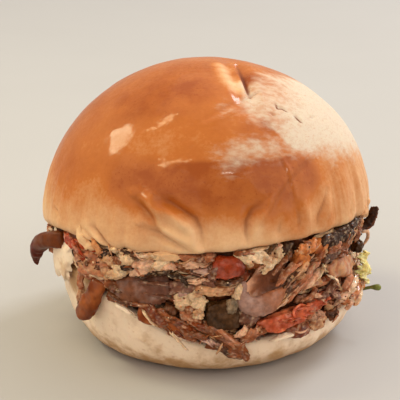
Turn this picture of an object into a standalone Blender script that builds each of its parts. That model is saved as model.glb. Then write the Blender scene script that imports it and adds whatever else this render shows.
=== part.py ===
"""A soft round bun, cut through and heaped with shaved shawarma meat and roast vegetables.

Blender 4.5, metres, +Z up. The origin is the middle of the flat foot that the bun rests on, and the
side that shows the most filling faces -Y. Angles run anticlockwise seen from above, from +X, so
that a larger angle lies further right on the side that faces -Y.
"""

import math
import random
from collections import namedtuple

import bmesh
import bpy
from mathutils import Vector, noise
from mathutils.bvhtree import BVHTree

MM = 0.001
DEGREE = math.pi / 180
TURN = 2 * math.pi

# The crown, the domed upper half of the bun. Rings count down from its top: dome, lip, cut face.
CROWN_RADIUS = 52.0 * MM
CROWN_SHIFT = 0.5 * MM  # how far right of the foot's middle it sits
CROWN_LEAN = 1.7 * MM  # how much further right its top lies
CROWN_WAIST = 41.0 * MM  # height of its widest ring
CROWN_TOP = 87.5 * MM
CROWN_LIP = 3.0 * MM  # radius of the soft lower edge
CROWN_CUT = 40.0 * MM  # height of the cut face at the middle
CROWN_RIM = (39.6, 40, 40, 39, 38, 36.5, 34.6, 40.3, 41.2, 42.4, 43.6, 42.6)  # mm, every 30 degrees
CROWN_SWELLS = ((2, 0.008, 0.6), (3, 0.006, 0.0))  # waves round it: how many, how deep, their shift
CROWN_TUCK = 0.7  # how fast it draws in below its widest ring
CROWN_RINGS = (14, 4, 4)
CROWN_SEGMENTS = 50

# The heel, the lower half, which stands taller on the left. Rings: cut face, lip, wall, foot.
HEEL_RADIUS = 47.8 * MM
HEEL_LIP = 1.7 * MM
HEEL_CUT = 11.0 * MM
HEEL_FOOT = 33.0 * MM  # radius of the flat foot
HEEL_RIM = (11, 12, 13, 15, 18, 23, 27.5, 29, 22.5, 12.8, 13.2, 12.6)  # mm, every 30 degrees
HEEL_SWELLS = ((3, 0.010, 1.0), (5, 0.006, 0.0))
HEEL_FULLNESS = (0.8, 1.15)  # powers that round its wall, outwards and upwards
FOOT_HUB = Vector((5.0, 3.0, 0.0)) * MM  # where the foot's faces meet, beside its middle
HEEL_RINGS = (3, 4, 9, 1)
HEEL_SEGMENTS = 46
LIP_TURN = 125 * DEGREE  # how far each lip curls round

# The filling's core, between the two cut faces.
GAP = 0.45 * MM  # kept between pieces that touch
CROWN_GAP = 1.3 * GAP  # under the crown, whose faces dip between its points
SLICE_GAP = 2 * GAP  # between the bun and the thin slices
TOPPING_GAP = 1.2 * GAP  # between a topping and the slices
CORE_TOP_RADIUS = 45.4 * MM
CORE_RADIUS = 46.2 * MM
CORE_FOOT_RADIUS = 43.9 * MM
CORE_ROUGHNESS = 0.9 * MM
CORE_RINGS = (3, 6, 3)
CORE_SEGMENTS = 40

# Shaved slices laid round the core in rows, each shorter where a topping lies in its way.
ROW_HEIGHT = 4.8 * MM
ROWS_MOST = 7
ROW_SLOTS = 19
SLICE_ROOT = 42.0 * MM  # radius at which a slice starts, inside the core
SLICE_LENGTH = (10.0 * MM, 17.0 * MM)
SLICE_REACH = (47.8 * MM, 50.6 * MM)
SLICE_THICKNESS = (1.9 * MM, 2.8 * MM)
SLICE_PARTS = (1, 0.65, 0.4)  # the shares of its length that a slice is tried at
SLICE_ROLL = 16 * DEGREE  # how far a slice may slope
SLICE_DROOP = (-1.0 * MM, 1.8 * MM)
SLICE_WAVE = (0.4 * MM, 1.2 * MM)
SLICE_SEED = 11

# Pinched folds in the crown's side: angle, half width and lean in degrees, depth in mm, and the
# height in mm at which each fades out.
Fold = namedtuple("Fold", "angle half_width lean depth top")
FOLD_FOOT = 36  # mm, the height at which the folds are deepest
FOLDS = (
    Fold(197, 5, 3, 0.9, 52),
    Fold(228, 6, -5, 0.8, 56),
    Fold(255, 5, 9, 1.2, 60),
    Fold(272, 5, 6, 1.1, 58),
    Fold(286, 5, -9, 1.1, 63),
    Fold(299, 5, 8, 1.0, 60),
    Fold(311, 5, 2, 1.1, 66),
    Fold(321, 5, 1, 1.2, 68),
    Fold(336, 5, -3, 1.0, 66),
    Fold(20, 6, 6, 1.1, 62),
    Fold(62, 7, -6, 1.2, 58),
    Fold(105, 6, 5, 1.0, 64),
    Fold(148, 7, -4, 1.2, 57),
)
PINCH_FROM = Vector((8.0, 9.0)) * MM  # the crease pinched across the top
PINCH_TO = Vector((13.0, -26.0)) * MM
PINCH_HALF_WIDTH = 5.5 * MM
PINCH_DEPTH = 1.9 * MM

# A flat or folded piece on the side: its middle, its size and its lean, then how far its upper edge
# tips outwards and how deep it is hollowed (below 0 it swells) and rippled. Angles and leans in
# degrees, the rest in mm.
Leaf = namedtuple("Leaf", "angle height radius length width thickness lean tip hollow ripple")
LEAVES = {
    "dark_slice": Leaf(246.5, 29.3, 49.2, 21.5, 9.4, 2.3, 9, -0.7, -0.9, 0.3),
    "folded_slice": Leaf(292, 30.0, 49.3, 13.8, 14.8, 2.3, -32, 0.6, 1.3, 0.5),
    "charred_slice": Leaf(328.4, 39.6, 48.8, 16.0, 4.4, 2.4, -3, 0.3, -0.4, 0.4),
    "tan_slice": Leaf(329, 28.9, 49.4, 18.5, 6.8, 2.3, -14, -0.6, -0.7, 0.5),
    "onion_slice": Leaf(318.5, 22.4, 49.0, 15.0, 5.8, 1.8, -8, 0.5, 0.4, 0.4),
    "orange_slice": Leaf(339.5, 16.8, 49.6, 22.5, 5.8, 2.4, -8, -0.5, -0.6, 0.7),
    "lettuce_right": Leaf(347.5, 23.2, 52.3, 11.5, 7.6, 1.5, 16, -0.8, -0.8, 1.0),
    "lettuce_back": Leaf(158, 27.2, 49.9, 15.0, 6.4, 1.5, 6, -0.5, -0.6, 0.8),
    "onion_back": Leaf(24, 22.5, 49.1, 15.0, 5.6, 1.8, 12, 0.5, 0.4, 0.4),
}

# A chunk on the side: its middle and its size, its lean, how far its upper edge tips outwards, and
# how round it is (0 a box, 1 a ball).
Chunk = namedtuple("Chunk", "angle height radius length width depth lean tip roundness")
CHUNKS = {
    "meat_chunk": Chunk(226.8, 34.2, 49.5, 15.0, 6.2, 4.0, -2, -0.5, 0.75),
    "tomato_front": Chunk(277.5, 38.2, 49.6, 10.4, 6.4, 3.8, 2, -0.6, 0.35),
    "pickle_block": Chunk(276.0, 23.0, 49.7, 10.2, 9.8, 4.2, 5, 0.4, 0.35),
    "tomato_low": Chunk(298.5, 19.2, 49.6, 17.5, 5.4, 4.0, 5, -0.4, 0.6),
    "orange_bit": Chunk(304.2, 37.4, 49.7, 5.6, 4.6, 4.2, -25, 0.3, 0.3),
    "pepper_right": Chunk(313.0, 39.9, 49.5, 7.6, 4.6, 3.8, 5, 0.0, 0.7),
    "olive_bit": Chunk(343, 31.6, 50.2, 5.4, 3.6, 4.0, 0, 0.0, 0.9),
    "tomato_back": Chunk(92, 30.6, 49.6, 15.0, 5.6, 4.0, -4, -0.5, 0.5),
    "pickle_back": Chunk(58, 22.4, 49.6, 11.0, 6.6, 4.0, 6, 0.3, 0.35),
}

# A strip that leaves the side: the angle, radius and height of points along it, then its width,
# its thickness and its twist in degrees.
Strip = namedtuple("Strip", "route width thickness twist")
STRIPS = {
    "pepper_claw": Strip(
        ((207, 48.8, 36.2), (200, 51.4, 34.8), (193, 53.8, 31.4), (189.5, 54.8, 27), (188, 54.8, 22.6)),
        6.2, 2.2, 0,
    ),
    "tomato_left": Strip(
        ((213.5, 49.0, 38.2), (219, 49.6, 38.8), (226, 49.6, 39.2), (232, 49.0, 39.2)),
        2.4, 2.8, 0,
    ),
    "pepper_strip": Strip(
        ((230.5, 49.4, 29.6), (229.5, 50.6, 26.8), (227.5, 50.9, 23), (224, 50.6, 18.8), (219, 50.4, 15.4)),
        6.2, 2.8, 0,
    ),
    "pepper_low": Strip(
        ((246.5, 50, 22), (252.5, 50.4, 21.4), (259, 50.5, 20.2), (264.5, 50.4, 17.9), (267.5, 50.2, 15.9)),
        5.0, 2.4, 0,
    ),
    "hanging_slice": Strip(
        ((270.5, 49.9, 15.3), (275.5, 50.5, 14.5), (280.5, 50.7, 12.0), (284.8, 50.4, 9.2)),
        6.2, 2.2, 0,
    ),
    "crisp_bit": Strip(
        ((346, 49.4, 36.9), (348, 52.4, 37.6), (350, 54.0, 40.0), (350.5, 54.3, 42.5)),
        3.4, 1.5, 90,
    ),
    "onion_strand": Strip(
        ((347, 50.9, 35.0), (350.5, 52.4, 34.2), (352, 52.6, 31.6), (351, 51.4, 29.4)),
        1.2, 1.1, 0,
    ),
    "pepper_back": Strip(
        ((118, 49.2, 32.5), (121, 50.6, 29.5), (125, 51, 24.5), (130, 50.8, 19.5), (134, 50.4, 16)),
        5.8, 2.6, 0,
    ),
}

# The herb stalk, from its root to its bud.
STALK_ROUTE = ((353, 48.9, 12.9), (353, 51.5, 13.4), (352.6, 54.5, 14.3), (352, 57.6, 14.6))
STALK_RADIUS = 0.55 * MM
BUD_RADIUS = 1.05 * MM
BUD_PLACE = 0.86  # as a share of the stalk
BUD_REACH = 0.24
STALK_SIDES = 8
STALK_STEPS = 10

# How uneven the pieces are: how ragged a leaf's outline is, how round its corners and how thin its
# edge; how uneven a chunk, a strip and a clump are, as shares of their size.
LEAF_RAGGEDNESS = 0.16
LEAF_ROUNDNESS = 0.35
LEAF_EDGE = 0.45
CHUNK_UNEVENNESS = 0.14
STRIP_UNEVENNESS = 0.12
STRIP_TAPER = 0.25
STRIP_EDGE = 0.4
SLICE_EDGE = 0.35
CLUMP_UNEVENNESS = 0.2
CLUMP_ROUNDNESS = 0.85

# Slices of the heap that show on the front: angle, height, length and reach, then roll in degrees.
SHOWN_THICKNESS = 2.4 * MM
SHOWN_DROOP = 0.4 * MM
SHOWN_WAVE = 0.6 * MM
SHOWN_SLICES = (
    (265.0, 33.8, 7.0, 50.4, 8),
    (266.2, 36.9, 8.0, 50.6, 4),
    (266.0, 39.9, 7.5, 49.8, -4),
    (273.0, 31.3, 9.5, 51.2, -3),
    (285.4, 19.6, 4.6, 50.6, 0),
    (307.4, 28.6, 6.4, 50.8, -24),
    (313.0, 31.4, 8.6, 50.8, -18),
    (329.0, 35.2, 13.0, 50.4, -8),
    (314.5, 16.6, 7.0, 50.8, -10),
    (351.0, 37.0, 4.5, 51.4, 0),
    (336.0, 22.8, 8.0, 50.8, -12),
)

# Clumps of cream on the front: angle, height, reach, length and width.
CLUMPS = (
    (241.6, 37.4, 50.5, 9.4, 6.4),
    (252.0, 37.6, 50.1, 10.5, 5.0),
    (265.3, 27.4, 50.8, 7.2, 7.4),
    (288.0, 40.6, 50.2, 7.0, 4.0),
    (295.6, 40.0, 50.8, 6.6, 5.8),
)

# Each piece's colour, 0 to 255 as on a screen, and its roughness.
FINISHES = {
    "bun_top": ((206, 128, 66), 0.38),
    "bun_bottom": ((226, 188, 146), 0.72),
    "meat_heap": ((128, 86, 60), 0.5),
    "dark_slice": ((98, 64, 48), 0.36),
    "folded_slice": ((158, 116, 94), 0.42),
    "charred_slice": ((66, 44, 28), 0.5),
    "tan_slice": ((162, 116, 84), 0.48),
    "onion_slice": ((104, 52, 42), 0.4),
    "orange_slice": ((188, 122, 74), 0.42),
    "lettuce_right": ((178, 158, 78), 0.45),
    "lettuce_back": ((170, 156, 80), 0.45),
    "onion_back": ((150, 92, 84), 0.4),
    "meat_chunk": ((170, 116, 92), 0.5),
    "tomato_front": ((158, 64, 38), 0.3),
    "pickle_block": ((66, 46, 26), 0.3),
    "tomato_low": ((178, 72, 42), 0.25),
    "orange_bit": ((204, 116, 56), 0.35),
    "pepper_right": ((146, 84, 48), 0.35),
    "olive_bit": ((112, 88, 48), 0.35),
    "tomato_back": ((160, 66, 40), 0.3),
    "pickle_back": ((74, 54, 30), 0.3),
    "pepper_claw": ((96, 48, 32), 0.35),
    "tomato_left": ((150, 66, 52), 0.35),
    "pepper_strip": ((138, 68, 36), 0.3),
    "pepper_low": ((146, 76, 42), 0.3),
    "hanging_slice": ((116, 70, 46), 0.42),
    "crisp_bit": ((132, 92, 58), 0.5),
    "onion_strand": ((196, 166, 128), 0.45),
    "pepper_back": ((142, 70, 38), 0.3),
    "herb_stalk": ((104, 104, 62), 0.5),
}


def smooth_read(values, place, closed=False):
    """Reads a smooth curve through evenly spaced values at place, counted in values."""
    last = len(values) - 1
    start = math.floor(place) if closed else min(max(math.floor(place), 0), last - 1)
    share = place - start

    def value(index):
        return values[index % len(values)] if closed else values[min(max(index, 0), last)]

    before, here, after, beyond = (value(start + k) for k in (-1, 0, 1, 2))
    rise = (after - before) / 2
    fall = (beyond - here) / 2
    bend = 3 * (after - here) - 2 * rise - fall
    swing = 2 * (here - after) + rise + fall
    return here + share * (rise + share * (bend + share * swing))


def around(heights, angle):
    """The height in metres, at an angle, of a rim given in mm at even steps."""
    return smooth_read(heights, angle / TURN * len(heights), closed=True) * MM


def polar(angle, radius, height):
    return Vector((radius * math.cos(angle), radius * math.sin(angle), height))


def fade(distance, width):
    """1 at no distance, falling smoothly to 0 at width."""
    share = min(abs(distance) / width, 1)
    return (1 - share * share) ** 2


def fold_depth(angle, height):
    """How far the folds draw the crown's side in."""
    depth = 0.0
    for fold in FOLDS:
        share = (height / MM - FOLD_FOOT) / (fold.top - FOLD_FOOT)
        if share < 1:
            turn = angle / DEGREE - fold.angle - fold.lean * (share - 0.5)
            turn = (turn + 180) % 360 - 180
            depth += fold.depth * MM * fade(turn, fold.half_width) * (1 - max(share, 0) ** 2)
    return depth


def pinch_depth(x, y):
    """How far the crease across the top sinks in."""
    run = PINCH_TO - PINCH_FROM
    from_start = Vector((x, y)) - PINCH_FROM
    share = min(max(from_start.dot(run) / run.length_squared, 0), 1)
    away = (from_start - run * share).length
    return PINCH_DEPTH * fade(away, PINCH_HALF_WIDTH) * math.sin(math.pi * (0.1 + 0.8 * share))


def swell(angle, waves):
    return 1 + sum(depth * math.sin(count * angle + shift) for count, depth, shift in waves)


def crown_side(angle, share):
    """Radius and height on the dome, share 0 at the top and 1 where the lip begins."""
    rise = CROWN_TOP - CROWN_WAIST
    edge = (around(CROWN_RIM, angle) + CROWN_LIP - CROWN_WAIST) / rise
    sweep = math.acos(edge) if edge > 0 else math.pi / 2 - edge
    down = sweep * share
    if down <= math.pi / 2:
        radius = CROWN_RADIUS * math.sin(down)
        height = CROWN_WAIST + rise * math.cos(down)
    else:
        under = down - math.pi / 2
        radius = CROWN_RADIUS * (1 - CROWN_TUCK * under**2)
        height = CROWN_WAIST - rise * under
    radius *= 1 + (swell(angle, CROWN_SWELLS) - 1) * (radius / CROWN_RADIUS) ** 2
    aside = CROWN_SHIFT + CROWN_LEAN * (height - CROWN_WAIST) / rise
    return radius + aside * math.cos(angle) * radius / CROWN_RADIUS, height


def crown_under(angle, radius):
    """Height of the crown's underside, level outside the lowest line of its lip."""
    outer, edge = crown_side(angle, 1)
    middle = outer - CROWN_LIP
    inner = middle + CROWN_LIP * math.cos(LIP_TURN)
    inner_height = edge - CROWN_LIP * math.sin(LIP_TURN)
    if radius < inner:
        return CROWN_CUT + (inner_height - CROWN_CUT) * (radius / inner) ** 2
    return edge - math.sqrt(CROWN_LIP**2 - min(radius - middle, 0) ** 2)


def crown_point(angle, ring):
    dome, lip, cut = CROWN_RINGS
    if ring <= dome:
        radius, height = crown_side(angle, ring / dome)
        point = polar(angle, radius - fold_depth(angle, height), height)
        point.z -= pinch_depth(point.x, point.y)
        return point
    outer, edge = crown_side(angle, 1)
    turn = LIP_TURN * min((ring - dome) / lip, 1)
    radius = outer - CROWN_LIP + CROWN_LIP * math.cos(turn) - fold_depth(angle, edge) * math.cos(turn / 2)
    height = edge - CROWN_LIP * math.sin(turn)
    if ring > dome + lip:
        radius *= (dome + lip + cut - ring) / cut
        height = crown_under(angle, radius)
    return polar(angle, radius, height)


def heel_outer(angle):
    return HEEL_RADIUS * swell(angle, HEEL_SWELLS)


def heel_over(angle, radius):
    """Height of the heel's cut face, level outside the highest line of its lip."""
    edge = around(HEEL_RIM, angle) - HEEL_LIP
    middle = heel_outer(angle) - HEEL_LIP
    inner = middle + HEEL_LIP * math.cos(LIP_TURN)
    inner_height = edge + HEEL_LIP * math.sin(LIP_TURN)
    if radius < inner:
        return HEEL_CUT + (inner_height - HEEL_CUT) * (radius / inner) ** 3
    return edge + math.sqrt(HEEL_LIP**2 - min(radius - middle, 0) ** 2)


def heel_point(angle, ring):
    cut, lip, wall, foot = HEEL_RINGS
    outer = heel_outer(angle)
    edge = around(HEEL_RIM, angle) - HEEL_LIP
    if ring <= cut + lip:
        turn = LIP_TURN * min((cut + lip - ring) / lip, 1)
        radius = outer - HEEL_LIP + HEEL_LIP * math.cos(turn)
        height = edge + HEEL_LIP * math.sin(turn)
        if ring < cut:
            radius *= ring / cut
            height = heel_over(angle, radius)
        return polar(angle, radius, height)
    drop = (ring - cut - lip) / wall
    if drop <= 1:
        lift = math.pi / 2 * (1 - drop)
        outwards, upwards = HEEL_FULLNESS
        radius = HEEL_FOOT + (outer - HEEL_FOOT) * math.sin(lift) ** outwards
        return polar(angle, radius, edge * (1 - math.cos(lift) ** upwards))
    share = (cut + lip + wall + foot - ring) / foot
    return polar(angle, HEEL_FOOT * share, 0) + FOOT_HUB * (1 - share)


def core_point(angle, ring):
    top, side, bottom = CORE_RINGS
    ceiling = crown_under(angle, CORE_TOP_RADIUS) - CROWN_GAP
    floor = heel_over(angle, CORE_FOOT_RADIUS) + SLICE_GAP
    if ring <= top:
        radius = CORE_TOP_RADIUS * ring / top
        return polar(angle, radius, crown_under(angle, radius) - CROWN_GAP)
    if ring >= top + side:
        radius = CORE_FOOT_RADIUS * (top + side + bottom - ring) / bottom
        return polar(angle, radius, heel_over(angle, radius) + SLICE_GAP)
    share = (ring - top) / side
    bulge = math.sin(math.pi * share)
    radius = CORE_TOP_RADIUS + (CORE_FOOT_RADIUS - CORE_TOP_RADIUS) * share
    radius += (CORE_RADIUS - (CORE_TOP_RADIUS + CORE_FOOT_RADIUS) / 2) * bulge
    radius += CORE_ROUGHNESS * bulge * noise.noise(polar(angle, 2.4, ring))
    return polar(angle, radius, ceiling + (floor - ceiling) * share)


def turned_outwards(bm):
    """The closed form with every face pointing out."""
    bmesh.ops.recalc_face_normals(bm, faces=bm.faces)
    if bm.calc_volume(signed=True) < 0:
        bmesh.ops.reverse_faces(bm, faces=bm.faces)
    bm.normal_update()
    return bm


def ball(segments, rings, place):
    """A closed round form, its points set by place(angle, ring), ring 0 at the top."""
    bm = bmesh.new()
    bmesh.ops.create_uvsphere(bm, u_segments=segments, v_segments=rings, radius=1)
    for vert in bm.verts:
        angle = math.atan2(vert.co.y, vert.co.x) % TURN
        step = math.acos(min(max(vert.co.z, -1), 1)) / math.pi
        vert.co = place(angle, step * rings)
    return turned_outwards(bm)


def slab(rows, columns, place):
    """A thin closed piece, its points set by place(s, t, side), each from -1 to 1."""
    bm = bmesh.new()
    lower = bmesh.ops.create_grid(bm, x_segments=rows, y_segments=columns, size=1)["verts"]
    faces = bmesh.ops.triangulate(bm, faces=bm.faces, quad_method="FIXED")["faces"]
    raised = bmesh.ops.extrude_face_region(bm, geom=faces, use_keep_orig=True)["geom"]
    upper = [item for item in raised if isinstance(item, bmesh.types.BMVert)]
    for side, verts in ((-1, lower), (1, upper)):
        for vert in verts:
            vert.co = place(vert.co.x, vert.co.y, side)
    return turned_outwards(bm)


def lump(cuts, place):
    """A closed chunk, its points set by place(x, y, z), each from -1 to 1."""
    bm = bmesh.new()
    bmesh.ops.create_cube(bm, size=2)
    bmesh.ops.subdivide_edges(bm, edges=bm.edges, cuts=cuts, use_grid_fill=True)
    for vert in bm.verts:
        vert.co = place(*vert.co)
    return turned_outwards(bm)


def rounded(x, y, z, roundness):
    """A cube's point drawn towards the ball inside it."""
    on_ball = Vector((
        x * math.sqrt(1 - y * y / 2 - z * z / 2 + y * y * z * z / 3),
        y * math.sqrt(1 - z * z / 2 - x * x / 2 + z * z * x * x / 3),
        z * math.sqrt(1 - x * x / 2 - y * y / 2 + x * x * y * y / 3),
    ))
    return Vector((x, y, z)).lerp(on_ball, roundness)


def beside(spot, right, up, out):
    """A point at given distances right, up and out of a spot on the sandwich's side."""
    lean = spot.lean * DEGREE
    across = right * math.cos(lean) - up * math.sin(lean)
    rise = right * math.sin(lean) + up * math.cos(lean)
    radius = spot.radius * MM
    return polar(spot.angle * DEGREE + across / radius, radius + out, spot.height * MM + rise)


def leaf_form(leaf):
    """A thin piece with a ragged round outline, thinner at its edge."""
    def place(s, t, side):
        ragged = 1 + LEAF_RAGGEDNESS * noise.noise(Vector((2 * s, 2 * t, leaf.angle)))
        right = leaf.length * MM / 2 * s * math.sqrt(1 - LEAF_ROUNDNESS * t * t) * ragged
        up = leaf.width * MM / 2 * t * math.sqrt(1 - LEAF_ROUNDNESS * s * s) * ragged
        edge = max(abs(s), abs(t))
        out = leaf.hollow * MM * (edge * edge - 0.5)
        out += leaf.ripple * MM * math.sin(5 * s + 3 * t + leaf.angle) * edge + leaf.tip * MM * t
        out += side * leaf.thickness * MM / 2 * (1 - LEAF_EDGE * edge**3)
        return beside(leaf, right, up, out)

    return slab(7, 4, place)


def chunk_form(chunk):
    def place(x, y, z):
        point = rounded(x, y, z, chunk.roundness)
        uneven = 1 + CHUNK_UNEVENNESS * noise.noise(1.3 * point + Vector((0, 0, chunk.angle)))
        right = chunk.length * MM / 2 * point.x * uneven
        up = chunk.width * MM / 2 * point.y * uneven
        return beside(chunk, right, up, (chunk.depth / 2 * point.z + chunk.tip * point.y) * MM)

    return lump(2, place)


def route_point(route, place):
    """A point on the smooth curve through a route of angles, radii and heights."""
    angle, radius, height = (smooth_read([stop[k] for stop in route], place) for k in range(3))
    return polar(angle * DEGREE, radius * MM, height * MM)


def route_run(route, place):
    """The direction in which a route runs."""
    return (route_point(route, place + 0.05) - route_point(route, place - 0.05)).normalized()


def strip_form(strip):
    """A long piece that follows its route and narrows to its end."""
    last = len(strip.route) - 1

    def place(s, t, side):
        along = (s + 1) / 2 * last
        middle = route_point(strip.route, along)
        run = route_run(strip.route, along)
        outward = Vector((middle.x, middle.y, 0)).normalized()
        outward = (outward - run * outward.dot(run)).normalized()
        across = run.cross(outward)
        turn = strip.twist * DEGREE
        across, outward = (
            across * math.cos(turn) + outward * math.sin(turn),
            outward * math.cos(turn) - across * math.sin(turn),
        )
        taper = 1 - STRIP_TAPER * (abs(s) ** 3 + max(s, 0) ** 4)
        uneven = 1 + STRIP_UNEVENNESS * math.sin(4 * s + strip.width)
        point = middle + across * (strip.width * MM / 2 * t * taper * uneven)
        return point + outward * (side * strip.thickness * MM / 2 * (1 - STRIP_EDGE * abs(t) ** 3))

    return slab(8, 2, place)


def stalk_form():
    """A thin round stalk that swells into a bud."""
    last = len(STALK_ROUTE) - 1

    def place(angle, ring):
        share = ring / STALK_STEPS
        middle = route_point(STALK_ROUTE, share * last)
        side = route_run(STALK_ROUTE, share * last).cross(Vector((0, 0, 1))).normalized()
        over = side.cross(route_run(STALK_ROUTE, share * last))
        bud = fade(share - BUD_PLACE, BUD_REACH)
        radius = STALK_RADIUS * (1 - bud) + BUD_RADIUS * bud
        radius *= math.sqrt(max(1 - abs(2 * share - 1) ** 12, 0))
        return middle + (side * math.cos(angle) + over * math.sin(angle)) * radius

    return ball(STALK_SIDES, STALK_STEPS, place)


def slice_form(angle, height, length, reach, thickness, roll, droop, wave):
    """A slice of the heap that lies in the core and shows its long wavy edge."""
    def place(s, t, side):
        outer = SLICE_ROOT + (reach - SLICE_ROOT) * (1 - 0.35 * s * s)
        outer += 0.7 * MM * math.sin(3.1 * s + 50 * angle) * (1 + t) / 2
        radius = SLICE_ROOT + (outer - SLICE_ROOT) * (1 + t) / 2
        turn = angle + length / 2 * s / radius
        rise = math.tan(roll) * length / 2 * s
        rise += wave * math.sin(2.6 * s + 70 * angle) * (1 + t) / 2 - droop * (1 + t) ** 2 / 4
        half = thickness / 2 * (1 - SLICE_EDGE * max(abs(s), t) ** 3)
        lowest = heel_over(turn, radius) + SLICE_GAP + half
        highest = crown_under(turn, radius) - SLICE_GAP - half
        middle = min(max(height + rise, lowest), highest)
        return polar(turn, radius, middle + side * half)

    return slab(4, 1, place)


def clump_form(angle, height, reach, length, width):
    """A clump of cream that sits in the core and bulges out of it."""
    def place(x, y, z):
        point = rounded(x, y, z, CLUMP_ROUNDNESS)
        uneven = 1 + CLUMP_UNEVENNESS * noise.noise(1.5 * point + Vector((0, 0, angle)))
        radius = SLICE_ROOT + (reach - SLICE_ROOT) * (1 + point.z) / 2
        turn = angle + length / 2 * point.x * uneven / radius
        level = height + width / 2 * point.y * uneven
        lowest = heel_over(turn, radius) + GAP
        highest = crown_under(turn, radius) - GAP
        return polar(turn, radius, min(max(level, lowest), highest))

    return lump(1, place)


def grown_trees(forms):
    """Search trees of the forms, each swollen by the gap that its neighbours keep."""
    trees = []
    for form in forms:
        swollen = form.copy()
        for vert in swollen.verts:
            vert.co += vert.normal * TOPPING_GAP
        trees.append(BVHTree.FromBMesh(swollen))
        swollen.free()
    return trees


def heap_slices(trees):
    """The slices shown on the front and the rows round the core, clear of the other pieces."""
    for angle, height, length, reach, roll in SHOWN_SLICES:
        form = slice_form(
            angle * DEGREE, height * MM, length * MM, reach * MM,
            SHOWN_THICKNESS, roll * DEGREE, SHOWN_DROOP, SHOWN_WAVE,
        )
        if is_clear(form, trees):
            yield form
    draw = random.Random(SLICE_SEED)
    for slot in range(ROW_SLOTS):
        for row in range(ROWS_MOST):
            angle = (slot + 0.5 * (row % 2) + draw.uniform(-0.25, 0.25)) * TURN / ROW_SLOTS
            low = heel_over(angle, CORE_RADIUS)
            room = crown_under(angle, CORE_RADIUS) - low
            rows = max(round(room / ROW_HEIGHT), 1)
            height = low + room * (row + 0.5 + draw.uniform(-0.2, 0.2)) / rows
            length = draw.uniform(*SLICE_LENGTH)
            reach = draw.uniform(*SLICE_REACH)
            thickness = draw.uniform(*SLICE_THICKNESS)
            roll = draw.uniform(-SLICE_ROLL, SLICE_ROLL)
            droop = draw.uniform(*SLICE_DROOP)
            wave = draw.uniform(*SLICE_WAVE)
            if row >= rows:
                continue
            for part in SLICE_PARTS:
                form = slice_form(angle, height, length * part, reach, thickness, roll, droop, wave)
                if is_clear(form, trees):
                    yield form
                    break


def is_clear(form, trees):
    tree = BVHTree.FromBMesh(form)
    return not any(tree.overlap(other) for other in trees)


def make_finish(name):
    """A plain surface of the piece's colour, given as it looks on a screen."""
    colour, roughness = FINISHES[name]
    finish = bpy.data.materials.new(name)
    finish.use_nodes = True
    shader = finish.node_tree.nodes["Principled BSDF"]
    linear = [(level / 255) ** 2.2 for level in colour]
    shader.inputs["Base Color"].default_value = (*linear, 1)
    shader.inputs["Roughness"].default_value = roughness
    shader.inputs["Metallic"].default_value = 0
    return finish


def make_mesh(name, bm):
    mesh = bpy.data.meshes.new(name)
    bm.to_mesh(mesh)
    bm.free()
    return mesh


def make_piece(name, bm):
    """Makes a finished object of a closed form."""
    mesh = make_mesh(name, bm)
    mesh.shade_smooth()
    mesh.set_sharp_from_angle(angle=50 * DEGREE)
    mesh.materials.append(make_finish(name))
    piece = bpy.data.objects.new(name, mesh)
    bpy.context.scene.collection.objects.link(piece)
    return piece


def make_bun():
    make_piece("bun_top", ball(CROWN_SEGMENTS, sum(CROWN_RINGS), crown_point))
    make_piece("bun_bottom", ball(HEEL_SEGMENTS, sum(HEEL_RINGS), heel_point))


def drop_scraps(mesh):
    """Keeps only the largest body of a mesh."""
    bm = bmesh.new()
    bm.from_mesh(mesh)
    bodies = []
    unseen = set(bm.verts)
    while unseen:
        body = [unseen.pop()]
        for vert in body:
            for edge in vert.link_edges:
                other = edge.other_vert(vert)
                if other in unseen:
                    unseen.remove(other)
                    body.append(other)
        bodies.append(body)
    bodies.sort(key=len)
    for scrap in bodies[:-1]:
        bmesh.ops.delete(bm, geom=scrap, context="VERTS")
    bm.to_mesh(mesh)
    bm.free()


def make_heap(toppings):
    """The core with its slices and clumps of cream fused on, clear of the toppings."""
    heap = make_piece("meat_heap", ball(CORE_SEGMENTS, sum(CORE_RINGS), core_point))
    extras = bpy.data.collections.new("slices")
    bpy.context.scene.collection.children.link(extras)
    forms = list(heap_slices(grown_trees(toppings)))
    for angle, height, reach, length, width in CLUMPS:
        forms.append(clump_form(angle * DEGREE, height * MM, reach * MM, length * MM, width * MM))
    for form in forms:
        extras.objects.link(bpy.data.objects.new("slice", make_mesh("slice", form)))
    union = heap.modifiers.new("fuse", "BOOLEAN")
    union.operation = "UNION"
    union.operand_type = "COLLECTION"
    union.collection = extras
    union.solver = "EXACT"
    depsgraph = bpy.context.evaluated_depsgraph_get()
    fused = bpy.data.meshes.new_from_object(heap.evaluated_get(depsgraph))
    heap.modifiers.clear()
    drop_scraps(fused)
    heap.data = fused
    for extra in list(extras.objects):
        bpy.data.objects.remove(extra)
    bpy.data.collections.remove(extras)


def topping_forms():
    """Every topping's form by its name."""
    forms = {name: leaf_form(leaf) for name, leaf in LEAVES.items()}
    forms.update({name: chunk_form(chunk) for name, chunk in CHUNKS.items()})
    forms.update({name: strip_form(strip) for name, strip in STRIPS.items()})
    forms["herb_stalk"] = stalk_form()
    return forms


def main():
    for piece in list(bpy.data.objects):
        bpy.data.objects.remove(piece)
    make_bun()
    toppings = topping_forms()
    make_heap(toppings.values())
    for name, form in toppings.items():
        make_piece(name, form)


main()
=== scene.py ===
"""Looks for a soft round bun that is heaped with shaved shawarma meat and roast vegetables.

Blender 4.5, metres, +Z up. The solids that it dresses stand on the origin, and the side that shows
the most filling faces -Y. Angles run anticlockwise seen from above, from +X, so that a larger
angle lies further right on the side that faces -Y. Leaves, chunks, strips, slices and folds have
the same numbers as in the solids' own source, which this file can't read, but for the claw's
thickness.
"""

import math
import random
from collections import namedtuple
from types import SimpleNamespace

import bmesh
import bpy
from bpy.props import FloatProperty, FloatVectorProperty, IntProperty, PointerProperty
from mathutils import Matrix, Vector, noise
from mathutils.bvhtree import BVHTree


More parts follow.
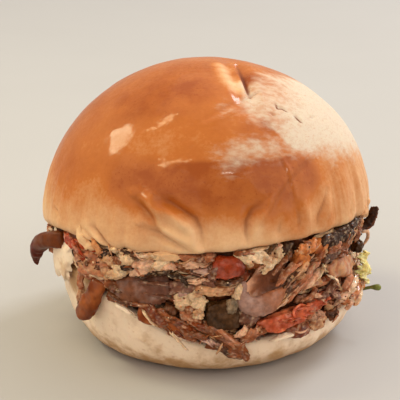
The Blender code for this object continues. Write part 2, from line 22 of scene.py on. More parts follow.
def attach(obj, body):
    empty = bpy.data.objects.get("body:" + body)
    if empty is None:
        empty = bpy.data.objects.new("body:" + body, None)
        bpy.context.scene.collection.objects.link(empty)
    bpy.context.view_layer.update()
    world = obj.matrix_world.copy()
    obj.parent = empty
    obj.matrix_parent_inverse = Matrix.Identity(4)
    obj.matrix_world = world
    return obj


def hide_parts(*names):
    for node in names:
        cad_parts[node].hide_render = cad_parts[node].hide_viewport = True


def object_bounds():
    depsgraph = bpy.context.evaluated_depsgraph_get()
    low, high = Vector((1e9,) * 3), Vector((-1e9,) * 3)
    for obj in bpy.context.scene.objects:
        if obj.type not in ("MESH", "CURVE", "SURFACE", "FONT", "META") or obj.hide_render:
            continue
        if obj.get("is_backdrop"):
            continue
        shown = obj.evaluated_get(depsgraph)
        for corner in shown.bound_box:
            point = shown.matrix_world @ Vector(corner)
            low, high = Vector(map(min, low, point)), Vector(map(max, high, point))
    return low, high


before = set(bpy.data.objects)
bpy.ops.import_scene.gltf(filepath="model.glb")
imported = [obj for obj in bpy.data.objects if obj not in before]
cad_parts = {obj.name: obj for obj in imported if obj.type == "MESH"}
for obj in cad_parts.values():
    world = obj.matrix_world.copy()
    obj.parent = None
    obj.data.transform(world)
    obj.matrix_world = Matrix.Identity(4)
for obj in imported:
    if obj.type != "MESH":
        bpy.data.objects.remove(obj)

bl_info = {
    "name": "Shawarma Bun",
    "version": (1, 0, 0),
    "blender": (4, 5, 0),
    "location": "3D View > Sidebar > Sandwich",
    "description": "Makes the bun, the meat and the vegetables of a shawarma sandwich",
    "category": "Add Mesh",
}

BODY = "root"
MM = 0.001
DEGREE = math.pi / 180
TURN = 2 * math.pi
FRONT = 270 * DEGREE

# The bun's two halves, as in the solids.
CROWN_RADIUS = 52.0 * MM
CROWN_SHIFT = 0.5 * MM
CROWN_LEAN = 1.7 * MM
CROWN_WAIST = 41.0 * MM
CROWN_TOP = 87.5 * MM
CROWN_LIP = 3.0 * MM
CROWN_CUT = 40.0 * MM
CROWN_RIM = (39.6, 40, 40, 39, 38, 36.5, 34.6, 40.3, 41.2, 42.4, 43.6, 42.6)
CROWN_SWELLS = ((2, 0.008, 0.6), (3, 0.006, 0.0))
CROWN_TUCK = 0.7
CROWN_RINGS = (14, 4, 4)
HEEL_RADIUS = 47.8 * MM
HEEL_LIP = 1.7 * MM
HEEL_CUT = 11.0 * MM
HEEL_FOOT = 33.0 * MM
HEEL_RIM = (11, 12, 13, 15, 18, 23, 27.5, 29, 22.5, 12.8, 13.2, 12.6)
HEEL_SWELLS = ((3, 0.010, 1.0), (5, 0.006, 0.0))
HEEL_FULLNESS = (0.8, 1.15)
HEEL_RINGS = (3, 4, 9, 1)
LIP_TURN = 125 * DEGREE
GAP = 0.45 * MM
CROWN_GAP = 1.3 * GAP
SOFT_GAP = 0.12 * MM  # between the bread and what is pressed against it
SLICE_GAP = 2 * GAP
CORE_TOP_RADIUS = 45.4 * MM
CORE_RADIUS = 46.2 * MM
CORE_FOOT_RADIUS = 43.9 * MM
CORE_RINGS = (3, 6, 3)

# The fine nets that replace them.
FINE_CROWN_RINGS = (168, 34, 22)
FINE_CROWN_SEGMENTS = 400
FINE_HEEL_RINGS = (20, 30, 70, 12)
FINE_HEEL_SEGMENTS = 320
CORE_NET = (260, 84)
FRONT_DENSITY = 0.3  # how much closer the segments stand on the front

# Fine relief of the bread and of the heap's core: how wide and how deep each kind of bump is.
WAVE_SIZE = 15 * MM
PLEAT_WIDTH = 5  # degrees
PLEAT_HEIGHT = 26 * MM
PLEAT_DEPTH = 0.5 * MM
PLEAT_SPAN = (64 * MM, 46 * MM)  # the heights where the pleats start and where they are full
PORE_SIZE = 4 * MM
PORE_DEPTH = 0.05 * MM
SWELL_SIZE = 11 * MM
SWELL_DEPTH = 0.55 * MM
DENT_SIZE = 3 * MM
DENT_DEPTH = 0.14 * MM
SKIN_SINK = 0.15 * MM  # how far the fine skins lie inside the solids', which leaves room for bumps
CORE_BUMP_SIZE = 3 * MM
CORE_BUMP_DEPTH = 0.9 * MM
CORE_GROWTH = 1.2 * MM

# Slices laid round the core in rows, as in the solids.
ROW_HEIGHT = 4.8 * MM
ROWS_MOST = 7
ROW_SLOTS = 19
SLICE_ROOT = 42.0 * MM
SLICE_LENGTH = (10.0 * MM, 17.0 * MM)
SLICE_REACH = (47.8 * MM, 50.6 * MM)
SLICE_THICKNESS = (1.9 * MM, 2.8 * MM)
SLICE_PARTS = (1, 0.65, 0.4)
SLICE_ROLL = 16 * DEGREE
SLICE_DROOP = (-1.0 * MM, 1.8 * MM)
SLICE_WAVE = (0.4 * MM, 1.2 * MM)
SLICE_UNEVENNESS = 0.7 * MM
SLICE_SEED = 11
SHOWN_THICKNESS = 2.4 * MM
SHOWN_DROOP = 0.4 * MM
SHOWN_WAVE = 0.6 * MM
ON_HEAP = 0.05 * MM  # a slice whose edge lies this close to the solid heap is one of its slices

# Folds of the crown's side: angle, half width and lean in degrees, depth and top in mm.
FOLD_FOOT = 36
FOLDS = (
    (197, 5, 3, 0.9, 52),
    (228, 6, -5, 0.8, 56),
    (255, 5, 9, 1.2, 60),
    (272, 5, 6, 1.1, 58),
    (286, 5, -9, 1.1, 63),
    (299, 5, 8, 1, 60),
    (311, 5, 2, 1.1, 66),
    (321, 5, 1, 1.2, 68),
    (336, 5, -3, 1, 66),
    (20, 6, 6, 1.1, 62),
    (62, 7, -6, 1.2, 58),
    (105, 6, 5, 1, 64),
    (148, 7, -4, 1.2, 57),
)
PINCH_FROM = Vector((8.0, 9.0)) * MM
PINCH_TO = Vector((13.0, -26.0)) * MM
PINCH_HALF_WIDTH = 5.5 * MM
PINCH_DEPTH = 1.9 * MM

# The photo's camera as first fitted to the bun's outline, in mm and pixels, and the dome that its
# pixels are laid on: its radius, the height of its widest ring and its rise above that.
PHOTO_TILT = 19 * DEGREE
PHOTO_DISTANCE = 450
PHOTO_AIM = 45  # the height that it looks at
PHOTO_SCALE = 3.114  # pixels for each mm at that distance
PHOTO_MIDDLE = (204.6, 190.3)
PHOTO_DOME = (52.5, 40.8, 46.6)

# Sharp creases in the crown's skin. In front and across the top a route holds pixels of the photo.
# Behind, where they are guessed, it holds angles and heights, and along the top fold X and Y. Then
# the valley's half width and depth in mm, how high the skin stands beside it (left of the way the
# route runs, or right below 0), and how dark its line is.
# Their dark lines are partly darker crust and partly painted shade in the creases.
FRONT_CREASES = (
    (((50, 208), (53, 213), (57, 219)), 0.5, 0.4, 0.15, 0.5),
    (((134, 203), (143, 211), (150, 220), (156, 231)), 1.4, 1.9, 1.8, 0.6),
    (((160, 200), (172, 207), (183, 214), (195, 222), (200, 232), (202, 246)), 1.5, 2.2, -2.6, 0.6),
    (((143, 230), (158, 237), (174, 246), (190, 254)), 1.2, 1.7, 1.5, 0.45),
    (((279, 158), (285, 170), (290, 182), (294, 198)), 0.6, 0.25, 0.4, 0),
    (((312, 161), (300, 172), (289, 184), (279, 200), (270, 215), (262, 228)), 1, 0.5, -0.3, 0.3),
    (((262, 205), (254, 212), (248, 224), (247, 236), (249, 246)), 1.5, 1.7, 1.3, 0.6),
    (((283, 221), (281, 232), (283, 238)), 1.6, 0.9, 0.4, 0.4),
    (((299, 208), (302, 220), (301, 235)), 1.4, 1.1, 0.6, 0.45),
    (((328, 191), (326, 205), (322, 218), (321, 228)), 1.1, 1, 0.8, 0.5),
    (((334, 160), (336, 172), (335, 182)), 0.6, 0.4, 0.2, 0.3),
    (((354, 196), (353, 208), (351, 220)), 0.8, 0.5, 0.5, 0.1),
    (((75, 228), (83, 236), (92, 247)), 0.8, 0.6, -0.5, 0.2),
    (((88, 228), (97, 238), (106, 250)), 1, 1.1, -0.9, 0.7),
)
BACK_CREASES = (
    (((24, 60), (28, 54), (27, 46)), 1.1, 0.8, 0.5, 0.3),
    (((58, 56), (66, 52), (70, 45)), 1.2, 0.9, -0.6, 0.3),
    (((98, 62), (104, 54), (103, 46)), 1, 0.7, 0.5, 0.3),
    (((140, 58), (150, 52), (158, 44)), 1.2, 0.9, 0.5, 0.3),
    (((176, 54), (181, 48), (180, 41)), 1, 0.7, -0.5, 0.3),
)
TOP_FOLD = (((10.2, 3), (11.3, -6), (12.3, -12.6), (12.9, -16.4), (13.2, -19.6)), 1, 1.2, -1.4, 1)
TOP_CRACKS = (
    (((246, 97), (236, 104), (222, 111), (205, 120)), 0.9, 0.4, 0.2, 0.15),
    (((246, 97), (252, 93), (258, 92)), 0.5, 0.5, 0.3, 0.6),
    (((275, 104), (277, 109), (281, 109), (287, 113)), 0.5, 0.5, 0, 1.7),
    (((294, 117), (298, 121), (302, 125)), 0.5, 0.5, 0, 1.7),
    (((308, 119), (318, 120), (330, 123)), 0.42, 0.35, 0, 0.7),
    (((270, 114), (275, 117)), 0.35, 0.4, 0, 0.9),
)
SIDE_CREASES_TOP = 74 * MM  # above it only the top's creases count
MM_PER_DEGREE = CROWN_RADIUS / MM * DEGREE

# Patches of the bread's skin: X, Y and Z of a middle and a reach in mm, and how strong each is there.
FLOUR_EDGE = (  # the lower edge of the floury skin: angle and height, on the right and behind
    (279, 79.5), (286, 78.4), (295, 77.1), (302.6, 75), (304.4, 72.4), (307, 69.2), (311, 67.6),
    (316.4, 66.6), (323.4, 66.4), (336.4, 64.8), (347, 62.4), (358, 60.4), (372, 59), (390, 63),
    (410, 72), (428, 86), (446, 100),
)
FLOUR_LEFT = (8.5, -15.0, 0.6)  # its left edge in X, and from which Y on it draws aside and how fast
# The first two are painted shade on the heel's left top, under the filling; the others darken the heel
# lower down.
HEEL_PATCHES = (
    (-41, -26, 28, 9, 1),
    (-42, -24, 23, 7, 0.8),
    (-38, -31, 21, 5, 0.5),
    (-14, -45, 12, 5, 0.3),
    (24, -42, 8, 7, 0.3),
    (30, 36, 10, 9, 0.4),
)
DUSTED_PATCHES = (
    (5.5, -40.4, 70, 4.6, 0.36),
    (10.5, -39.2, 70.5, 5, 0.6),
    (15, -37.6, 70.6, 5, 0.62),
    (20, -35.4, 70.4, 5, 0.5),
    (25, -32, 70, 5, 0.5),
    (8.2, -41.4, 68.5, 5, 0.56),
    (6.5, -43, 66.8, 4, 0.4),
    (10.6, -40.8, 68.6, 4, 0.5),
    (6, -28, 80, 4, 0.36),
    (-26, 34, 66, 12, 0.45),
)
BROWN_PATCHES = (
    (-16, -18, 83, 14, 0.36),
    (-5, -19, 84, 8, 0.4),
    (-6, -8, 87, 10, 0.32),
    (-46, -22, 54, 14, 0.16),
    (42, -27, 55, 9, 0.16),
    (-30, 6, 76, 24, 0.18),
    (12, -9, 85.5, 5, 0.5),
    (14, -33, 75, 4, 0.24),
    (18, -31, 75, 4, 0.36),
    (38, -35, 49, 7, 0.24),
    (28, -44, 46, 6, 0.26),
    (-8, 30, 74, 24, 0.3),
    (30, 40, 58, 18, 0.3),
)
# The first two and the five along the top fold's ridge are painted highlights, the soft light on the upper
# front and the shine on the ridge; the others are paler crust.
PALE_PATCHES = (
    (-21, -33, 72.5, 8, 0.1),
    (-12, -38, 70.5, 6, 0.08),
    (20, 30, 74, 12, 0.12),
    (4.8, -3.5, 87.1, 3.2, 0.4),
    (6, -7.6, 86.6, 3.6, 0.5),
    (7.4, -11.4, 85.9, 3.8, 0.56),
    (8.6, -14.6, 85, 3.6, 0.56),
    (9.7, -17.4, 84, 3.2, 0.5),
    (-7, -51, 47.5, 8, 0.12),
    (10, -51, 48, 9, 0.14),
)
THIN_PATCHES = (  # where the flour is thin
    (19, -13, 82, 10, 0.34),
    (19, -27, 76.5, 6, 0.3),
    (17, 7, 84, 9, 0.5),
    (18, -10, 83, 6, 0.5),
    (20.5, 1.4, 83.7, 7, 0.5),
)
BAND = (  # the band across the front, partly browner crust and partly painted shade and painted dark reflection: angle, lower edge and upper edge
    (224, 61, 65.5), (233, 59.5, 66), (244, 57.2, 67), (256, 55.5, 67.3), (268, 55.5, 68.3),
    (281, 53, 68.6), (293, 51.5, 68.5), (304, 54.5, 67.6), (312, 58, 66.6), (319, 61, 64.5),
)
BAND_AMOUNT = 0.36
DOME_BROWN = (0.02, 0.52, 41.5, 61.0)  # at the lower edge, how much more above, and from where to where

# Pieces on the side, as in the solids.
Leaf = namedtuple("Leaf", "angle height radius length width thickness lean tip hollow ripple")
LEAVES = {
    "dark_slice": Leaf(246.5, 29.3, 49.2, 21.5, 9.4, 2.3, 9, -0.7, -0.9, 0.3),
    "folded_slice": Leaf(292, 30, 49.3, 13.8, 14.8, 2.3, -32, 0.6, 1.3, 0.5),
    "charred_slice": Leaf(328.4, 39.6, 48.8, 16, 4.4, 2.4, -3, 0.3, -0.4, 0.4),
    "tan_slice": Leaf(329, 28.9, 49.4, 18.5, 6.8, 2.3, -14, -0.6, -0.7, 0.5),
    "onion_slice": Leaf(318.5, 22.4, 49, 15, 5.8, 1.8, -8, 0.5, 0.4, 0.4),
    "orange_slice": Leaf(339.5, 16.8, 49.6, 22.5, 5.8, 2.4, -8, -0.5, -0.6, 0.7),
    "lettuce_right": Leaf(347.5, 23.2, 52.3, 11.5, 7.6, 1.5, 16, -0.8, -0.8, 1),
    "lettuce_back": Leaf(158, 27.2, 49.9, 15, 6.4, 1.5, 6, -0.5, -0.6, 0.8),
    "onion_back": Leaf(24, 22.5, 49.1, 15, 5.6, 1.8, 12, 0.5, 0.4, 0.4),
}
Chunk = namedtuple("Chunk", "angle height radius length width depth lean tip roundness")
CHUNKS = {
    "meat_chunk": Chunk(226.8, 34.2, 49.5, 15, 6.2, 4, -2, -0.5, 0.75),
    "tomato_front": Chunk(277.5, 38.2, 49.6, 10.4, 6.4, 3.8, 2, -0.6, 0.35),
    "pickle_block": Chunk(276, 23, 49.7, 10.2, 9.8, 4.2, 5, 0.4, 0.35),
    "tomato_low": Chunk(298.5, 19.2, 49.6, 17.5, 5.4, 4, 5, -0.4, 0.6),
    "orange_bit": Chunk(304.2, 37.4, 49.7, 5.6, 4.6, 4.2, -25, 0.3, 0.3),
    "pepper_right": Chunk(313, 39.9, 49.5, 7.6, 4.6, 3.8, 5, 0, 0.7),
    "olive_bit": Chunk(343, 31.6, 50.2, 5.4, 3.6, 4, 0, 0, 0.9),
    "tomato_back": Chunk(92, 30.6, 49.6, 15, 5.6, 4, -4, -0.5, 0.5),
    "pickle_back": Chunk(58, 22.4, 49.6, 11, 6.6, 4, 6, 0.3, 0.35),
}
Strip = namedtuple("Strip", "route width thickness twist")
STRIPS = {
    "pepper_claw": Strip(  # fuller than the solid, which is 2.2 thick
        ((207, 48.8, 36.2), (200, 51.4, 34.8), (193, 53.8, 31.4), (189.5, 54.8, 27), (188, 54.8, 22.6)),
        6.2, 5.2, 0,
    ),
    "tomato_left": Strip(
        ((213.5, 49, 38.2), (219, 49.6, 38.8), (226, 49.6, 39.2), (232, 49, 39.2)),
        2.4, 2.8, 0,
    ),
    "pepper_strip": Strip(
        ((230.5, 49.4, 29.6), (229.5, 50.6, 26.8), (227.5, 50.9, 23), (224, 50.6, 18.8), (219, 50.4, 15.4)),
        6.2, 2.8, 0,
    ),
    "pepper_low": Strip(
        ((246.5, 50, 22), (252.5, 50.4, 21.4), (259, 50.5, 20.2), (264.5, 50.4, 17.9), (267.5, 50.2, 15.9)),
        5, 2.4, 0,
    ),
    "hanging_slice": Strip(
        ((270.5, 49.9, 15.3), (275.5, 50.5, 14.5), (280.5, 50.7, 12), (284.8, 50.4, 9.2)),
        6.2, 2.2, 0,
    ),
    "crisp_bit": Strip(
        ((346, 49.4, 36.9), (348, 52.4, 37.6), (350, 54, 40), (350.5, 54.3, 42.5)),
        3.4, 1.5, 90,
    ),
    "onion_strand": Strip(
        ((347, 50.9, 35), (350.5, 52.4, 34.2), (352, 52.6, 31.6), (351, 51.4, 29.4)),
        1.2, 1.1, 0,
    ),
    "pepper_back": Strip(
        ((118, 49.2, 32.5), (121, 50.6, 29.5), (125, 51, 24.5), (130, 50.8, 19.5), (134, 50.4, 16)),
        5.8, 2.6, 0,
    ),
}
FOLD_LIP = Strip(  # the folded slice's broad smooth lip
    ((282.4, 50, 33.4), (281.8, 51, 29.6), (284.6, 51.6, 26.4), (289.4, 51.8, 25.4),
     (294.2, 51.5, 27.4), (298.2, 51, 30.4)),
    6.2, 2, 0,
)
FOLD_HOLLOW = (293, 32.6, 8, 2.4)  # the folded slice's hollow: angle, height, reach and depth in mm
CLAW_POINT = 0.6  # how much the claw narrows to its tip
CURL_WIDTH = (1.7, 0.7)  # mm, across and through
CURL_STEPS = 7
CURL_STEP = 45  # degrees
CURL_RADII = (50.9, 0.1)  # mm from the sandwich's middle at the start, and how much more at each step
TOMATO_CURLS = (  # thin curled skins on the low tomato: angle, height, reach in mm, and start
    (295.2, 18.6, 3.0, 200), (303.4, 21.2, 2.8, 30), (311.4, 22.6, 2.5, 150),
)
# The low tomato's curly edge, and a paler bit on the pickle block.
TOMATO_FRINGE = Leaf(307.5, 21.6, 50.9, 17.5, 3.6, 1.4, 14, -0.3, -0.3, 0.6)
BLOCK_BIT = Chunk(278.6, 26.6, 51.4, 3.4, 4.6, 2.6, 4, 0.2, 0.4)
STALK_ROUTE = ((353, 48.9, 12.9), (353, 51.5, 13.4), (352.6, 54.5, 14.3), (352, 57.6, 14.6))
STALK_RADIUS = 0.55 * MM
BUD_RADIUS = 1.05 * MM
BUD_PLACE = 0.86
BUD_REACH = 0.24
STALK_NET = (24, 60)
# Slices shown on the front: angle, height, length, reach and roll. Then cream clumps: angle, height,
# reach, length and width.
SHOWN_SLICES = (
    (265, 33.8, 7, 50.4, 8),
    (266.2, 36.9, 8, 50.6, 4),
    (266, 39.9, 7.5, 49.8, -4),
    (273, 31.3, 9.5, 51.2, -3),
    (285.4, 19.6, 4.6, 50.6, 0),
    (307.4, 28.6, 6.4, 50.8, -24),
    (313, 31.4, 8.6, 50.8, -18),
    (329, 35.2, 13, 50.4, -8),
    (314.5, 16.6, 7, 50.8, -10),
    (351, 37, 4.5, 51.4, 0),
    (336, 22.8, 8, 50.8, -12),
)
CLUMPS = (
    (241.6, 37.4, 50.5, 9.4, 6.4),
    (252, 37.6, 50.1, 10.5, 5),
    (265.3, 27.4, 50.8, 7.2, 7.4),
    (288, 40.6, 50.2, 7, 4),
    (295.6, 40, 50.8, 6.6, 5.8),
)
LEAF_RAGGEDNESS = 0.16
LEAF_ROUNDNESS = 0.35
CHUNK_UNEVENNESS = 0.14
STRIP_UNEVENNESS = 0.12
STRIP_TAPER = 0.25
CLUMP_UNEVENNESS = 0.2
CLUMP_ROUNDNESS = 0.85

# How fine the pieces' nets are.
LEAF_NET = (56, 30)
CHUNK_CUTS = 22
STRIP_NET = (70, 16)
SLICE_NET = (26, 9)
SLICE_FRAY = 0.9 * MM
SLICE_FLUTTER = 0.35 * MM
CLUMP_CUTS = 20
EDGE_POWER = 6  # how square a thin piece's rim is

# Thin torn flaps of the bread's skin: those of the crown's rim, then those of the heel's. Each has a
# flake's measures, below, and how brown it is.
CROWN_FLAPS = (
    (225, 41.6, 2.7, 9, 3, -38, 0),
    (231, 40.4, 2.3, 6, 2.6, -42, 0.4),
    (244, 41.6, 1.8, 8, 3, -4, 0.02),
    (257, 41.4, 1.6, 9, 3, 3, 0.04),
    (349, 43.6, 3.4, 8, 3.2, 58, 0.1),
    (343.5, 43.4, 3, 5, 2.4, 40, 0.16),
)
HEEL_FLAPS = (
    (204, 30.4, 0.9, 17, 13, -8, 0.25),
    (241, 22.4, 1.2, 9, 1.6, -22, 0),
    (260.4, 17, 2, 6, 1.8, -42, 0),
    (298, 13.6, 1.2, 9, 1.4, 4, 0),
)

# Torn flakes of meat, vegetable and cream, laid over the heap. Angle and height, how far each stands
# out from FLAKE_RADIUS, length and width in mm, its lean (above 0 rises to the right) and its tone.
Flake = namedtuple("Flake", "angle height lift length width lean tone")
FLAKE_RADIUS = 48.9 * MM
FRONT_FLAKE_NET = (34, 16)
FLAKE_NET = (20, 10)
FLAKE_THICKNESS = 1.15 * MM
FLAKE_RAGGEDNESS = 0.34
FLAKE_GROWTH = 1.15  # how much longer and wider than named each front flake is, to overlap the next
FLAKE_BEND = 0.12  # how much its length curves up or down
FLAKE_BOW = (-0.1, 0.28)  # how far its ends turn in, for its length
FLAKE_TILT = 0.35  # how far its upper edge stands out or in, for its width
FLAKE_CURL = 0.7 * MM  # how far its rim turns in
FLAKE_WARP = 0.7 * MM
TORN_RELIEF = ((0.3, 2.6), (0.12, 1.0))  # depth and size in mm of a torn surface's bumps
FRONT_FLAKES = (
    # pinkish meat on the left, and the strip of it beside the hanging pepper
    (216, 39.4, 2.2, 7, 2.8, -35, "red"),
    (222.6, 37.6, 2.9, 7, 2.2, -38, "red"),
    (221.5, 35, 1.8, 6, 4, 40, "rose"),
    (228, 36.6, 2.2, 6, 3, -35, "rose"),
    (233, 33.6, 1.8, 6, 3.8, -20, "tan"),
    (224.5, 31.6, 2, 4, 4.6, 80, "rose"),
    (220.8, 27.6, 1.2, 9, 2.4, 85, "rose"),
    (220, 21.8, 1, 6, 2, 80, "tan"),
    (226.6, 34.6, 2.6, 1.8, 1.2, 60, "dark"),
    (231.2, 34.4, 2.6, 1.6, 1.4, 0, "dark"),
    # crumbly cream with burnt bits beside it
    (234, 39, 2, 3, 1.8, 10, "char"),
    (242.5, 42.2, 2.2, 4.4, 2.6, -40, "char"),
    (246, 40.8, 2.2, 3, 2.4, 0, "dark"),
    (238.5, 41.8, 2, 3.4, 2.8, 20, "cream"),
    (235.6, 37.4, 1.8, 4.4, 3, -10, "tan"),
    (239.2, 37.6, 1.8, 4, 3, 10, "brown"),
    (243.2, 38.8, 2.4, 4.6, 3.4, 15, "cream"),
    (243.4, 36.4, 2.3, 4.2, 1.9, 15, "char"),
    (239.8, 35.6, 1.8, 5, 2.8, 10, "cream"),
    (238.4, 33.4, 2, 7.4, 2.8, 22, "cream"),
    # soft pale smear under the crown
    (249, 41.4, 1.6, 7, 3.2, -8, "pale"),
    (254.4, 41, 1.4, 6.4, 3, -10, "cream"),
    (248, 38.5, 1.7, 7, 3.2, 5, "blush"),
    (253.6, 37.9, 1.5, 6.6, 3.2, 10, "pale"),
    (247.4, 35.9, 1.8, 6.4, 2.6, 15, "blush"),
    (257.8, 37.6, 1.2, 5.4, 2.8, 0, "blush"),
    # the dark slice's layers, and the curl at its right end
    (250.6, 35, 2, 8, 1.3, 14, "char"),
    (256.2, 36.2, 2, 6.4, 1.4, 8, "pickle"),
    (260.6, 35.6, 2.6, 5.4, 1.7, -10, "pickle"),
    (263.2, 34.2, 2.6, 3.8, 1.5, -55, "pickle"),
    (262.4, 32.2, 2.2, 6.6, 3.6, 5, "plum"),
    (236, 29.6, 1.4, 5, 3, -15, "brown"),
    (241.5, 28, 1.3, 7, 1.6, -6, "dark"),
    (252.5, 32.4, 1.7, 9, 1.7, 4, "plum"),
    (253.5, 28.6, 1.6, 8, 1.6, -6, "plum"),
    # Painted shadow: the next flake is a dark one laid along the slit under the dark slice.
    (239.4, 25.6, 1.6, 8.4, 1.6, -14, "dark"),
    (247.4, 24.9, 1.6, 8.4, 1.6, -4, "brown"),
    # cream with brown knobs left of the block
    (262.6, 28.4, 2, 4.6, 6.6, 0, "cream"),
    (266.2, 29.6, 1.8, 4.2, 5, 30, "cream"),
    (267.8, 27.2, 2, 4.2, 4.6, -20, "cream"),
    (265, 25.6, 2.7, 2.8, 2.2, 0, "brown"),
    (263, 30.8, 2.6, 3, 1.6, 10, "lilac"),
    (267.4, 25, 2.7, 2.4, 1.8, 20, "tan"),
    (267.6, 23.8, 2, 3.4, 2.8, 0, "cream"),
    # thin pinkish layers left of the tomato
    (264.6, 41.4, 1.2, 6.4, 3.2, -5, "rose"),
    (266.2, 39, 1.4, 7.2, 2.3, 5, "blush"),
    (269.4, 37.4, 1.8, 7.2, 1.8, 6, "lilac"),
    # Painted shade: the next thin char flake is the dark gap under the pinkish layers.
    (266.2, 35.6, 1.5, 10, 0.9, -2, "char"),
    (268.2, 34.2, 1.8, 8.2, 2.2, 3, "blush"),
    (272.2, 36.8, 2.4, 4.6, 2.6, 80, "plum"),
    (271.4, 33.4, 2, 4, 2.2, 0, "plum"),
    (268.4, 41.5, 2.3, 2.8, 2.3, 0, "brown"),
    (271, 41, 1.9, 3.2, 2, 0, "rose"),
    # pale slice and shade under the tomato, cream right of the block
    (273.6, 31.4, 2.7, 11.6, 2.8, -2, "tan"),
    (277, 33.8, 2.3, 8.2, 1.5, 0, "dark"),
    (280.6, 30.4, 2.6, 5, 2.4, 80, "cream"),
    # creamy shreds between the tomato and the folded slice
    (281.6, 43, 2.2, 3.4, 2, 5, "brown"),
    (284, 42.6, 1.8, 5.6, 1.6, -10, "rose"),
    (288, 43, 1.4, 6.2, 2, 15, "pale"),
    (283.2, 40.4, 2.3, 6, 1.8, -40, "cream"),
    (286.6, 40.8, 2.1, 7, 2.4, -20, "pale"),
    (290.2, 39.8, 2.3, 6.2, 3, -50, "pale"),
    (291.6, 37.4, 2, 5.2, 2.6, 40, "cream"),
    (292.2, 42.8, 2, 5, 1.6, 40, "olive"),
    # layers that rise to the right of the folded slice
    (298, 38.4, 1.6, 6, 1.6, 50, "dark"),
    (296.2, 37.4, 1.9, 7, 1.5, 45, "brown"),
    (299.2, 35, 2.2, 9, 2, 38, "rose"),
    (301, 32.9, 2.3, 10, 1.7, 36, "dark"),
    (303.2, 34.4, 2.4, 9, 2.2, 35, "tan"),
    (304.6, 31.7, 2.6, 10, 2, 35, "rose"),
    (306.8, 33.4, 2.3, 8, 1.8, 30, "tan"),
    (300.4, 29.4, 2, 9, 1.6, 38, "dark"),
    (303.2, 28.4, 2.3, 9, 2.2, 34, "rose"),
    (298.2, 27.2, 2.1, 8, 2, 35, "tan"),
    (296.6, 25.4, 1.9, 7.2, 1.8, 25, "blush"),
    (309.2, 30.4, 2.3, 8, 1.8, 32, "blush"),
    (309.6, 34.7, 2, 6.2, 2.4, 25, "rose"),
    (311.8, 31.6, 3, 6.4, 0.6, 40, "pale"),
    (314, 32.8, 3, 3.2, 0.6, -60, "pale"),
    (320.2, 27.2, 3, 8.4, 0.7, -45, "pale"),
    # amber and dark meat at the upper right
    (304.4, 40.4, 2.4, 4.2, 3.8, 0, "amber"),
    (308, 40.9, 2.2, 5, 4.2, 10, "amber"),
    (316, 41.6, 2.3, 6, 2.4, 14, "char"),
    (321, 40.8, 2.2, 8.2, 3.4, 12, "char"),
    (325.5, 42.4, 2.8, 7, 2.2, 12, "char"),
    (328.4, 40.4, 2.5, 7.2, 3.6, 10, "char"),
    (333, 42, 2.8, 7, 3, 14, "char"),
    (338.4, 41.4, 2.6, 6, 2.8, 20, "dark"),
    (320.6, 37.8, 2.4, 4.6, 3.8, 0, "rose"),
    (326.8, 36.6, 2.3, 5.2, 3.6, 5, "brown"),
    (334, 38.2, 2, 5.2, 3.2, 40, "tan"),
    (341, 36.4, 2, 4.8, 3, 20, "brown"),
    (346, 38.4, 1.8, 4, 2.8, 70, "tan"),
    (312.2, 36.8, 2.1, 6.2, 2.4, 20, "brown"),
    (318.4, 35.4, 2.1, 7.2, 2.4, 10, "dark"),
    (326.4, 34, 1.9, 6.2, 2, 5, "brown"),
    # orange and tan layers at the lower right
    (327, 20.4, 2.5, 7.4, 2.4, 28, "blush"),
    (330, 23.6, 2.6, 8.2, 2.2, 24, "rose"),
    (334.6, 21.2, 2.9, 9, 2.4, 20, "pale"),
    (338.6, 18.4, 3, 9, 2.4, 18, "amber"),
    (335, 16.4, 2.6, 8, 2.2, 16, "blush"),
    (342.6, 15.2, 2.9, 8, 2.2, 20, "pale"),
    (345.4, 19.4, 3, 6.2, 2.2, 24, "blush"),
    (349.4, 16.6, 2.8, 5, 2, 30, "amber"),
    # curly fringe beside the low tomato, plum and pink bits under the folded slice
    (308.6, 24.8, 2, 6.2, 1.7, 30, "rose"),
    (316, 24.8, 3, 8, 2.2, 28, "plum"),
    (320.6, 22.6, 3, 6, 2, -30, "plum"),
    (312.2, 23.8, 2.7, 5.2, 1.5, -40, "blush"),
    (313.6, 21.4, 2.7, 5.2, 1.5, 30, "red"),
    (309.2, 20.3, 2.4, 5.2, 1.6, 60, "rose"),
    (284.4, 22, 1.8, 6.2, 5, 0, "plum"),
    (282.2, 17.4, 2.3, 4.2, 2.4, 40, "blush"),
    (285.6, 16.4, 2.3, 6.2, 3, 30, "rose"),
    (288.8, 16.8, 2.1, 4.2, 1.7, 20, "brown"),
    # brown shreds that hang over the heel
    (270.6, 18.6, 2.4, 9, 2.4, -30, "brown"),
    (274.6, 17.6, 2.7, 10, 2.6, -32, "brown"),
    (278.2, 15.4, 2.9, 10, 2.6, -40, "rose"),
    (281.2, 12.8, 2.9, 8, 2.6, -45, "brown"),
    (277, 12.6, 2.9, 9, 2.2, -38, "dark"),
    (279.6, 11, 2.9, 7, 2, -20, "brown"),
    (273.6, 14.5, 2.7, 6.2, 1.6, -35, "lilac"),
    (270.6, 15.5, 2.5, 5.2, 1.4, -30, "lilac"),
    (283.2, 10.4, 2.9, 3.8, 2, -60, "brown"),
    # orange shreds left of them
    (250, 24, 1.9, 8.2, 1.5, -25, "pepper"),
    (254.6, 22.4, 2.7, 8.2, 2.8, -35, "pepper"),
    (259, 22.2, 2.9, 8.2, 2.4, -25, "brown"),
    (262.6, 20.4, 2.9, 6.2, 2.2, -30, "pepper"),
    (256.6, 19.4, 2.5, 7.2, 1.7, -40, "brown"),
    (260.6, 18.4, 2.4, 6.2, 2, -45, "pepper"),
    (251.6, 21.6, 2.9, 6.4, 0.7, -45, "pale"),
    (261.2, 15.6, 3, 7.2, 0.8, -50, "pale"),
    (265.2, 22.6, 2.3, 6.2, 3, -30, "rose"),
    (267.2, 20.4, 2.5, 6.2, 2.6, -20, "pepper"),
    (264.2, 17.4, 2.5, 6.2, 2.4, -30, "brown"),
    (267.6, 17.2, 2.7, 5.2, 2.2, -20, "brown"),
)
